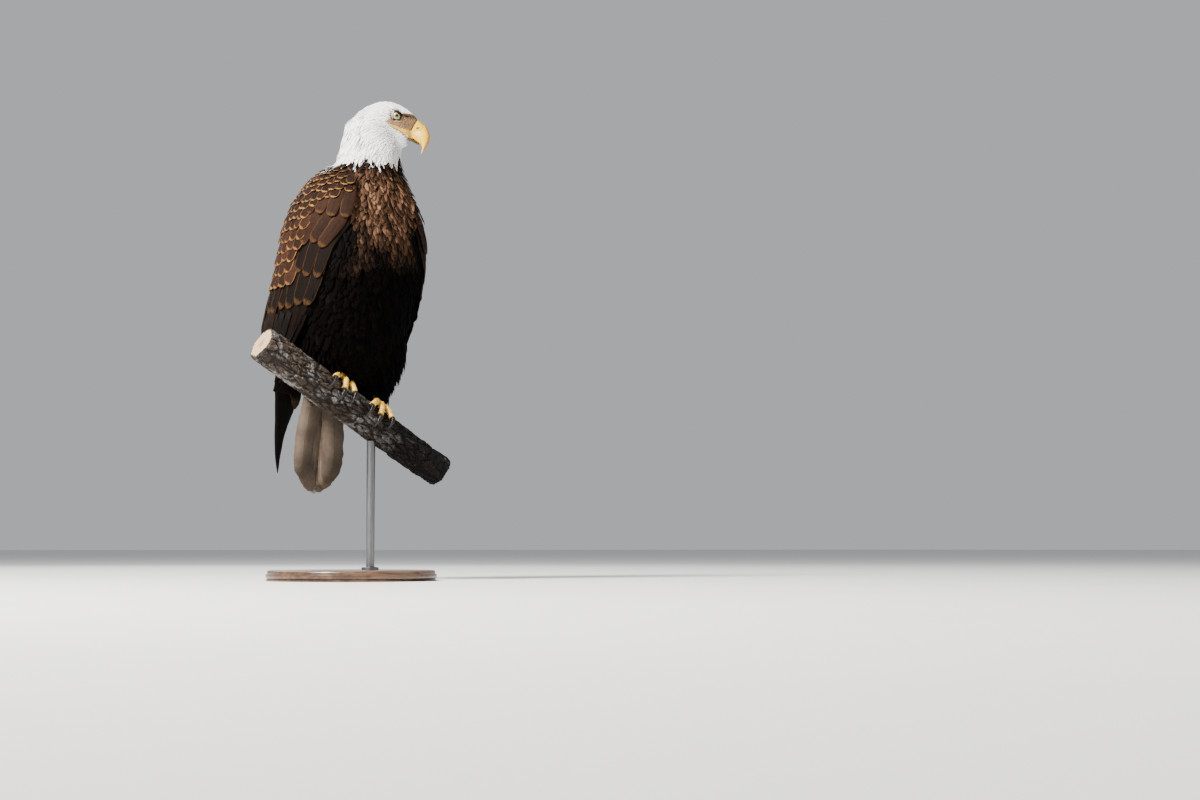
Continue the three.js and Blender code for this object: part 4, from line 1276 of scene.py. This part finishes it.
def build_upper_bill(horn):
    """The upper half: cere, nostrils, the ridge's orange and the pale hook. Returns its plain surface."""
    mesh = remeshed(["bill_upper"], BILL_VOXEL, 8)
    vertices, _, normals = mesh_arrays(mesh)
    forward, left, up = head_mm(vertices).T
    side = np.abs(left)
    ahead, above = forward - NOSTRIL[0], up - NOSTRIL[1]
    across = ahead * math.cos(NOSTRIL_TILT) - above * math.sin(NOSTRIL_TILT)
    upright = ahead * math.sin(NOSTRIL_TILT) + above * math.cos(NOSTRIL_TILT)
    nostril = ease(np.hypot(across / 3.4, upright / 1.4), 1.15, 0.7) * ease(side, 4, 6)
    rim = ease(np.abs(np.hypot(across / 4.6, upright / 2.6) - 1), 0.35, 0) * ease(side, 4, 6)
    cere_edge = along(CERE_EDGE, up)
    cere = ease(forward, cere_edge + 1.1, cere_edge - 0.9)
    groove = 0.15 * ease(np.abs(forward - cere_edge - 0.8), 1.2, 0)
    lines = 0.02 * np.sin(forward * 1.7 + 0.4 * up) * (1 - cere)
    relief = 0.35 * cere - 0.45 - groove - 1.7 * nostril + 0.35 * rim + lines
    ridge = ease(side, 9, 2) * ease(forward + up * 0.4, 54, 61) * (1 - cere)
    hook = ease(up, -36, -45) * ease(forward, 60, 66)
    # painted highlight: a pale sheen patch on the side of the bill
    sheen = ease(np.hypot((forward - 50) / 1.3, up + 13), 9, 1) * ease(side, 4, 7)
    seam = ease(np.abs(forward - cere_edge - 0.4), 1.4, 0) * ease(up, -17, -14)
    tone = layered(
        HORN,
        (PALE_HORN_AND_SHEEN, 0.6 * sheen),
        (HORN_ORANGE, 0.95 * ridge),
        (PALE_HORN_AND_SHEEN, 0.6 * hook),
        # painted shade: the top of the cere is darkened under the forehead
        (layered(CERE, (CERE * (0.62, 0.5, 0.5), ease(up, -4, 5) * ease(side, 9, 5))), cere),
        (CERE * 0.75, 0.35 * seam),
        # painted shade inside the nostril
        (MOUTH_SHADE, 0.95 * nostril),
    )
    moved = vertices + normals * (relief * MM)[:, None]
    finish_piece("bill_top", "bill_upper", mesh, moved, tone, "bill", horn)
    return surface_of(mesh)


def build_lower_bill(horn):
    """The lower half, tucked up under the upper one and painted dark as shade."""
    mesh = remeshed(["bill_lower"], BILL_VOXEL, 5)
    vertices = mesh_arrays(mesh)[0]
    forward = head_mm(vertices)[:, 0]
    moved = vertices + HEAD_UP * (LOWER_TUCK_MM * MM * ease(forward, 36, 44))[:, None]
    # painted shade: the yellow horn is darkened to a shadow colour
    tone = layered(CERE * 0.16, (HORN * 0.07, ease(forward, 38, 44)))
    finish_piece("bill_bottom", "bill_lower", mesh, moved, tone, "bill", horn)


bill_horn = toned_material("bill_horn", 0.38, 0.0016, 0.07, 0.00006, Specular_IOR_Level=0.3)
bill_surface = build_upper_bill(bill_horn)
build_lower_bill(bill_horn)

# The corner of the mouth: (forward, up, half height) in mm in the head's frame, from the bill backwards.
UPPER_LIP = (
    (45, -20, 7), (41, -21.9, 8.3), (38, -21.8, 8.6), (27, -22.3, 5.6), (16, -23, 3.6), (7, -23.8, 3.3),
    (0, -23.4, 2.6), (-4, -22.9, 1.0),
)
MOUTH_LINE = (
    (41, -31.6, 0.5), (38, -30.9, 0.8), (28, -28.6, 0.7), (19, -27, 0.6), (11, -27.9, 0.6), (3, -28, 0.6),
    (-2, -26.4, 0.5),
)
LOWER_LIP = (
    (36, -32.4, 0.6), (33, -31.8, 1.4), (30, -31.2, 1.7), (20, -30.3, 1.9), (12, -30.5, 2.2), (4, -30, 2.0),
    (-2, -27.8, 1.2),
)
OLIVE_SKIN = np.array((0.33, 0.28, 0.20))
LIP_ROWS, LIP_COLUMNS = 60, 13
LIP_SINK_MM = 0.8  # how deep a lip's front end lies in the bill
LIP_BASE_MM, LIP_ROOT_MM = 0.35, 1.8  # how deep its edges and its hidden side lie


def softened(grid, rounds):
    """A grid of numbers, evened out along both of its directions."""
    for _ in range(rounds):
        wide = np.pad(grid, 1, "edge")
        beside = wide[1:-1, 1:-1] * 2 + wide[:-2, 1:-1] + wide[2:, 1:-1] + wide[1:-1, :-2] + wide[1:-1, 2:]
        grid = beside / 6
    return grid


def build_lip(name, side, path, proud, tone, material):
    """A soft fold of skin that hugs the side of the face and sinks into the bill at its front."""
    knots = np.array(path)
    places = np.linspace(0, len(knots) - 1, LIP_ROWS)
    kernel = np.hanning(9) / np.hanning(9).sum()
    drawn = [np.interp(places, np.arange(len(knots)), column) for column in knots.T]
    forward, up, half = (np.convolve(np.pad(values, 4, "edge"), kernel, "valid") for values in drawn)
    t = np.linspace(-1, 1, LIP_COLUMNS)
    ups = up[:, None] + half[:, None] * t
    reach = np.full(ups.shape, 8.0)
    for (row, column), height in np.ndenumerate(ups):
        for surface in (skin, bill_surface):
            hit = surface.cast(in_head(forward[row], side * 60, height), -HEAD_LEFT * side)
            if hit is not None:
                reach[row, column] = max(reach[row, column], abs(head_mm(np.array(hit))[1]))
    front = forward[0]
    reach = blend(softened(reach, 14), reach - LIP_SINK_MM, ease(forward, front - 7, front - 1)[:, None])
    fullness = proud * ease(forward, front - 1, front - 9) * ease(forward, -5, 3)
    swell = np.sqrt(1 - t ** 2) * fullness[:, None]
    outer = in_head(forward[:, None], side * (reach + swell - LIP_BASE_MM), ups)
    inner = in_head(forward[:, None], side * (reach - LIP_ROOT_MM), ups)[:, ::-1]
    vertices = np.concatenate((outer, inner), 1)
    around = vertices.shape[1]
    faces = [part[:, ::-side] for part in (tube_faces(LIP_ROWS, around), tube_ends(LIP_ROWS, around))]
    fade = np.repeat(ease(forward, -6, 8), around)
    new_object(name, vertices.reshape(-1, 3), faces, "bill", material, tone=layered(tone * 0.6, (tone, fade)))




lip_skin = toned_material("lip_skin", 0.5, 0.001, 0.1, 0.0001)
for side_name, side_sign in SIDES.items():
    build_lip(f"lip_upper_{side_name}", side_sign, UPPER_LIP, 1.5, CERE * (0.98, 0.94, 1.6), lip_skin)
    # painted shadow: a dark strip along the line of the mouth
    build_lip(f"mouth_shadow_{side_name}", side_sign, MOUTH_LINE, 1.7, MOUTH_SHADE, lip_skin)
    build_lip(f"lip_lower_{side_name}", side_sign, LOWER_LIP, 1.5, OLIVE_SKIN, lip_skin)

# ---------------------------------------------------------------- feet and claws

PERCH_MIDDLE = np.array((0, 0, PERCH_HEIGHT))
PERCH_AXIS = np.array((math.cos(PERCH_SLOPE), 0, -math.sin(PERCH_SLOPE)))
PERCH_UP = np.array((math.sin(PERCH_SLOPE), 0, math.cos(PERCH_SLOPE)))
SCUTE_DEGREES = 7.2
SHANK_SCUTE = 0.0058
FOOT_VOXEL, CLAW_VOXEL = 0.0009, 0.0006
SCALE_DEEP = np.array((0.50, 0.27, 0.035))
SCALE_YELLOW = np.array((0.80, 0.50, 0.08))
SCALE_CRACK = np.array((0.12, 0.07, 0.02))
CLAW_ROOT = np.array((0.030, 0.023, 0.017))
CLAW_BLACK = np.array((0.004, 0.0035, 0.003))


def round_perch(points):
    """Place along the branch, distance from its middle, and degrees from its top, minus to the front."""
    away = points - PERCH_MIDDLE
    length = away @ PERCH_AXIS
    rise, back = away @ PERCH_UP, away[..., 1]
    return length, np.hypot(rise, back), np.degrees(np.arctan2(back, rise))


def build_foot(side):
    """A foot with a row of scutes down each toe and the shank, and rough pads underneath."""
    name = f"foot_{side}"
    mesh = remeshed([name], FOOT_VOXEL, 8)
    vertices, _, normals = mesh_arrays(mesh)
    _, distance, degrees = round_perch(vertices)
    shank = ease(distance, 0.050, 0.057)
    away = vertices - PERCH_MIDDLE
    outward = unit(away - (away @ PERCH_AXIS)[:, None] * PERCH_AXIS)
    upper = blend(ease(dot(normals, outward), -0.1, 0.5), ease(-normals[:, 1], -0.3, 0.3), shank)
    count = blend(np.abs(degrees) / SCUTE_DEGREES, vertices[:, 2] / SHANK_SCUTE, np.round(shank))
    count = count + 0.12 * wobble(vertices, 0.008, 5)
    plate = np.sin(math.pi * np.clip(count % 1 * 1.06, 0, 1)) ** 0.45
    pebbles = wobble(vertices, 0.0022, 8)
    relief = upper * (plate - 0.6) * 0.75 + (1 - upper) * pebbles * 0.35
    groove = upper * ease(plate, 0.62, 0.25) + (1 - upper) * ease(pebbles, -0.1, -0.6)
    pale = 0.5 + 0.5 * wobble(vertices, 0.01, 6)
    tone = layered(SCALE_DEEP, (SCALE_YELLOW, pale), (SCALE_CRACK, 0.75 * groove))
    moved = vertices + normals * (relief * MM)[:, None]
    scaly = toned_material("scales_" + side, 0.42, 0.0012, 0.1, 0.0001)
    finish_piece("scaled_" + name, name, mesh, moved, tone, "scutes", scaly)


def build_claw(node_name, material):
    """A smooth claw of black horn, paler and duller at its root."""
    mesh = remeshed([node_name], CLAW_VOXEL, 5)
    vertices, _, normals = mesh_arrays(mesh)
    turn = np.abs(round_perch(vertices)[2])
    share = (turn - turn.min()) / (turn.max() - turn.min())
    moved = vertices + normals * (0.00022 * (1 - share))[:, None]
    tone = layered(CLAW_ROOT, (CLAW_BLACK, ease(share, 0, 0.3)))
    finish_piece("horn_" + node_name, node_name, mesh, moved, tone, "claw", material)


claw_horn = toned_material("claw_horn", 0.36, 0.002, 0.25, 0.00005, Specular_IOR_Level=0.35)
for side_name in SIDES:
    build_foot(side_name)
    for toe in ("inner", "middle", "outer", "hallux"):
        build_claw(f"claw_{side_name}_{toe}", claw_horn)

# ---------------------------------------------------------------- perch

PERCH_HALF_LENGTH = 0.2248
PERCH_TAPER = 0.03
BARK_ROWS, BARK_STEPS = 400, 240
PLATE_SIZE, FLAKE_SIZE = 0.0125, 0.0062
BARK_DARK = np.array((0.012, 0.010, 0.009))
BARK_GREY = np.array((0.125, 0.117, 0.112))
BARK_BROWN = np.array((0.036, 0.026, 0.020))
WOOD_PALE = np.array((0.46, 0.32, 0.18))
WOOD_HEART = np.array((0.30, 0.18, 0.09))
RING_SPACING = 0.0021


def plates(places, size, seed):
    """Cracked plates of about that size: 0 in a crack to 1 on a plate, and a random number for each."""
    rng = np.random.default_rng(seed)
    low, high = places[:, 2].min(), places[:, 2].max()
    count = int(math.tau * PERCH_RADIUS * (high - low) / size ** 2)
    angles, lengths = rng.uniform(0, math.tau, count), rng.uniform(low, high, count)
    tree = KDTree(count)
    for index, (angle, length) in enumerate(zip(angles, lengths)):
        tree.insert((math.cos(angle) * PERCH_RADIUS, math.sin(angle) * PERCH_RADIUS, length), index)
    tree.balance()
    pairs = [tree.find_n(place, 2) for place in places.tolist()]
    gap = np.array([second[2] - first[2] for first, second in pairs]) / size
    own = rng.uniform(size=count)[[first[1] for first, _ in pairs]]
    return ease(gap, 0.02, 0.3), own


def build_perch():
    """The cut branch: cracked plates of bark, and a flat sawn end with growth rings at each end."""
    places = np.linspace(-PERCH_HALF_LENGTH, PERCH_HALF_LENGTH, BARK_ROWS)
    angles = np.linspace(0, math.tau, BARK_STEPS, endpoint=False)
    length, angle = (grid.ravel() for grid in np.meshgrid(places, angles, indexing="ij"))
    round_way = np.stack((np.cos(angle), np.sin(angle)), -1) * PERCH_RADIUS
    slanted = np.concatenate((round_way, length[:, None] * 0.9), 1)
    warp = np.stack([wobble(slanted, 0.010, 221 + k) for k in range(3)], -1) * 0.0024
    warp += np.stack([wobble(slanted, 0.0035, 231 + k) for k in range(3)], -1) * 0.0009
    stretched = np.concatenate((round_way, length[:, None] * 0.45), 1) + warp
    furrow, plate = plates(stretched, PLATE_SIZE, 202)
    crack, flake = plates(stretched + warp, FLAKE_SIZE, 203)
    fine = wobble(slanted, 0.0040, 204)
    depth = 3.0 * (1 - furrow) + 1.0 * (1 - crack) + 1.5 * plate + 0.5 * flake + 0.3 * fine + 0.5
    depth = np.clip(depth, 0.15, 6) * MM
    taper = 1 + PERCH_TAPER * np.linspace(1, -1, BARK_ROWS).repeat(BARK_STEPS)
    end = np.minimum(places - places[0], places[-1] - places).repeat(BARK_STEPS)
    radius = PERCH_RADIUS * taper - depth - 0.0014 * ease(end, 0.004, 0)
    outward = np.outer(np.cos(angle), PERCH_UP) + np.outer(np.sin(angle), (0, 1, 0))
    vertices = PERCH_MIDDLE + length[:, None] * PERCH_AXIS + radius[:, None] * outward
    quads = tube_faces(BARK_ROWS, BARK_STEPS)[:, [0, 3, 2, 1]]
    lichen = ease(wobble(slanted, 0.035, 208) + 0.4 * wobble(slanted, 0.008, 209), 0.1, 0.6)
    tone = layered(BARK_BROWN, (BARK_GREY, lichen)) * (1.25 - 0.5 * plate)[:, None]
    tone = layered(BARK_DARK, (tone, furrow * (0.45 + 0.55 * crack))) * (1 + 0.25 * fine[:, None])
    # painted shade darkens the bark towards the low end, and painted light brightens it towards the high end
    tone = tone * (1 - 0.78 * ease(length, 0.03, 0.14))[:, None]
    tone = tone * blend(1.7, 1, ease(length, -0.2, -0.03))[:, None]
    bark = toned_material("bark_skin", 0.9, 0.0016, 0.35, 0.0007, Specular_IOR_Level=0.12)
    thing = new_object("bark", vertices, [quads], "bark", bark, tone=np.clip(tone, 0.004, 0.9))
    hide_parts("perch_branch")
    wood = sawn_wood()
    build_sawn_end("high", vertices[:BARK_STEPS], places[0], -1, wood)
    build_sawn_end("low", vertices[-BARK_STEPS:], places[-1], 1, wood)


def build_sawn_end(name, rim, place, way, wood):
    """A flat face of sawn wood inside a rim of bark."""
    middle = PERCH_MIDDLE + PERCH_AXIS * place
    shares = np.linspace(1, 0.02, 30)
    rings = np.concatenate([middle + (rim - middle) * share for share in shares])
    faces = [tube_faces(len(shares), BARK_STEPS), tube_ends(len(shares), BARK_STEPS)[1:]]
    faces = [part[:, ::-way] for part in faces]
    share = np.repeat(shares, BARK_STEPS)
    heart, rim_dark = ease(share, 0.45, 0.1), ease(share, 0.90, 0.94)
    tone = layered(WOOD_PALE, (WOOD_HEART, heart), (BARK_BROWN, rim_dark))
    new_object("sawn_end_" + name, rings, faces, "bark", wood, tone=tone, ring=share * PERCH_RADIUS)


def sawn_wood():
    """Sawn end grain: growth rings, rays and saw marks."""
    material, tree, shader = new_material("sawn_wood", 0.7)
    bent = plus(tree, attribute(tree, "ring", "Fac"), times(tree, noise(tree, 0.02), 0.004))
    rings = calc(tree, "SINE", times(tree, bent, math.tau / RING_SPACING))
    set_color(tree, shader, attribute(tree, "tone"), remap(tree, rings, -1.0, 1.0, 0.72, 1.05))
    raise_bumps(tree, shader, noise(tree, 0.0015), 0.0002)
    return material


build_perch()

# ---------------------------------------------------------------- stand

BEAD = 0.0045  # the radius of the board's mouldings


def wood_board():
    """Dark stained wood with long grain and a satin finish."""
    material, tree, shader = new_material("stained_wood", 0.3, Coat_Weight=0.3, Coat_Roughness=0.2)
    grain = noise(tree, 0.006, 6.0, (0.08, 1, 1))
    broad = noise(tree, 0.05, 3.0, (0.15, 1, 1))
    share = remap(tree, plus(tree, times(tree, grain, 0.6), times(tree, broad, 0.4)), 0.38, 0.62)
    set_color(tree, shader, mix(tree, share, (0.040, 0.020, 0.011, 1), (0.125, 0.066, 0.036, 1)))
    raise_bumps(tree, shader, grain, 0.0001)
    return material


def brushed_steel():
    """Steel brushed along the rod."""
    material, tree, shader = new_material("brushed_steel", 0.32, Metallic=1.0)
    brushed = noise(tree, 0.0012, 3.0, (1, 1, 0.03))
    share = remap(tree, brushed, 0.3, 0.7)
    set_color(tree, shader, mix(tree, share, (0.16, 0.16, 0.165, 1), (0.24, 0.24, 0.245, 1)))
    raise_bumps(tree, shader, brushed, 0.00003)
    return material


def build_board():
    """A turned round board with a moulded edge. Returns the height of its top."""
    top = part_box("stand_base")[1]
    radius, thick = top.x, top.z
    rounds = [(math.sin(a) * BEAD, math.cos(a) * BEAD) for a in np.linspace(0.2, 1.5, 8)]
    bead = [(radius - BEAD + wide, thick * 0.42 - tall) for wide, tall in rounds]
    rounds = [(math.cos(a) * BEAD, math.sin(a) * BEAD) for a in np.linspace(0, 1.57, 8)]
    crown = [(radius - 0.003 - BEAD + wide, thick - BEAD + tall) for wide, tall in rounds]
    profile = [(0.002, 0), (radius - 0.003, 0), (radius - 0.0005, 0.0012), *bead]
    profile += [(radius - 0.0005, thick * 0.62), (radius - 0.003, thick * 0.66), *crown, (0.002, thick)]
    vertices, faces, _ = turned(profile, np.zeros(3), (0, 0, 1), 160)
    board = new_object("board", vertices, faces, "stand_board", wood_board())
    sharpen(board, 50)
    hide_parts("stand_base")
    return thick


def build_rod(foot):
    """The rod, with a collar where it stands on the board."""
    low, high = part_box("stand_rod")
    radius = (high.x - low.x) / 2
    centre = np.array(((low.x + high.x) / 2, (low.y + high.y) / 2, 0))
    collar = [(0.0004, -0.001), (0.0165, -0.001), (0.0165, 0.0040), (0.0155, 0.0052)]
    collar += [(radius + 0.001, 0.0062), (radius, 0.0072)]
    profile = [(wide, foot + tall) for wide, tall in collar] + [(radius, high.z), (0.0004, high.z)]
    vertices, faces, _ = turned(profile, centre, (0, 0, 1), 64)
    rod = new_object("rod", vertices, faces, "stand_steel", brushed_steel())
    sharpen(rod, 35)
    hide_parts("stand_rod")


def sharpen(thing, degrees):
    """Keeps edges sharper than that angle crisp under smooth shading."""
    thing.data.set_sharp_from_angle(angle=math.radians(degrees))


board_top = build_board()
build_rod(board_top)

# ---------------------------------------------------------------- floor, light and camera

PAGE = (1200, 800)
AIM = np.array((0, 0, 0.340))
AIM_PIXEL = (353, 402)
CAMERA_DISTANCE = 4.0
CAMERA_AZIMUTH = math.radians(-30)
CAMERA_ELEVATION = math.radians(-4)
METRES_PER_PIXEL = 0.0019
SENSOR_MM = 36
FLOOR_REACH = 60


def place_camera():
    """The photograph's view: the aimed place falls on its own pixel, with no shift."""
    azimuth, elevation = CAMERA_AZIMUTH, CAMERA_ELEVATION
    level = math.cos(elevation)
    toward = np.array((math.sin(azimuth) * level, -math.cos(azimuth) * level, math.sin(elevation)))
    focal_pixels = CAMERA_DISTANCE / METRES_PER_PIXEL
    forward = -toward
    right = unit(np.cross(forward, (0, 0, 1)))
    yaw = math.atan((AIM_PIXEL[0] - PAGE[0] / 2) / focal_pixels)
    forward = forward * math.cos(yaw) - right * math.sin(yaw)
    right = unit(np.cross(forward, (0, 0, 1)))
    up = np.cross(right, forward)
    pitch = math.atan((AIM_PIXEL[1] - PAGE[1] / 2) / focal_pixels)
    forward = forward * math.cos(pitch) + up * math.sin(pitch)
    up = np.cross(right, forward)
    data = bpy.data.cameras.new("camera")
    data.sensor_width = SENSOR_MM
    data.lens = focal_pixels / PAGE[0] * SENSOR_MM
    camera = bpy.data.objects.new("camera", data)
    turn = Matrix((right, up, -forward)).transposed().to_4x4()
    camera.matrix_world = Matrix.Translation(AIM + toward * CAMERA_DISTANCE) @ turn
    bpy.context.scene.collection.objects.link(camera)
    bpy.context.scene.camera = camera


def add_lamp(name, place, aim, size, watts, color):
    """A soft square lamp that looks at the aim."""
    data = bpy.data.lights.new(name, "AREA")
    data.size = size
    data.energy = watts
    data.color = color
    lamp = bpy.data.objects.new(name, data)
    lamp.location = place
    lamp.rotation_euler = (Vector(aim) - Vector(place)).to_track_quat("-Z", "Y").to_euler()
    bpy.context.scene.collection.objects.link(lamp)


def build_studio():
    """A pale floor under soft light from the upper left."""
    corners = [(x, y, 0) for x, y in ((-1, -1), (1, -1), (1, 1), (-1, 1))]
    material, tree, shader = new_material("floor_paper", 0.9)
    set_color(tree, shader, grey(tree, remap(tree, noise(tree, 0.5), 0.3, 0.7, 0.70, 0.72)))
    floor = new_object("floor", np.array(corners) * FLOOR_REACH, [np.array([[0, 1, 2, 3]])], None, material)
    middle = (0, 0, 0.55)
    add_lamp("key", (-3.0, -0.85, 3.0), middle, 1.1, 800, (1.0, 0.965, 0.91))
    add_lamp("fill", (2.6, -2.6, 1.4), middle, 2.4, 10, (0.93, 0.96, 1.0))
    add_lamp("rim", (0.8, 2.8, 2.2), middle, 1.8, 60, (1.0, 1.0, 1.0))
    world = bpy.data.worlds.new("studio")
    world.use_nodes = True
    backdrop = world.node_tree.nodes["Background"].inputs
    backdrop["Color"].default_value = (0.92, 0.94, 0.97, 1)
    backdrop["Strength"].default_value = 0.5
    bpy.context.scene.world = world


place_camera()
build_studio()
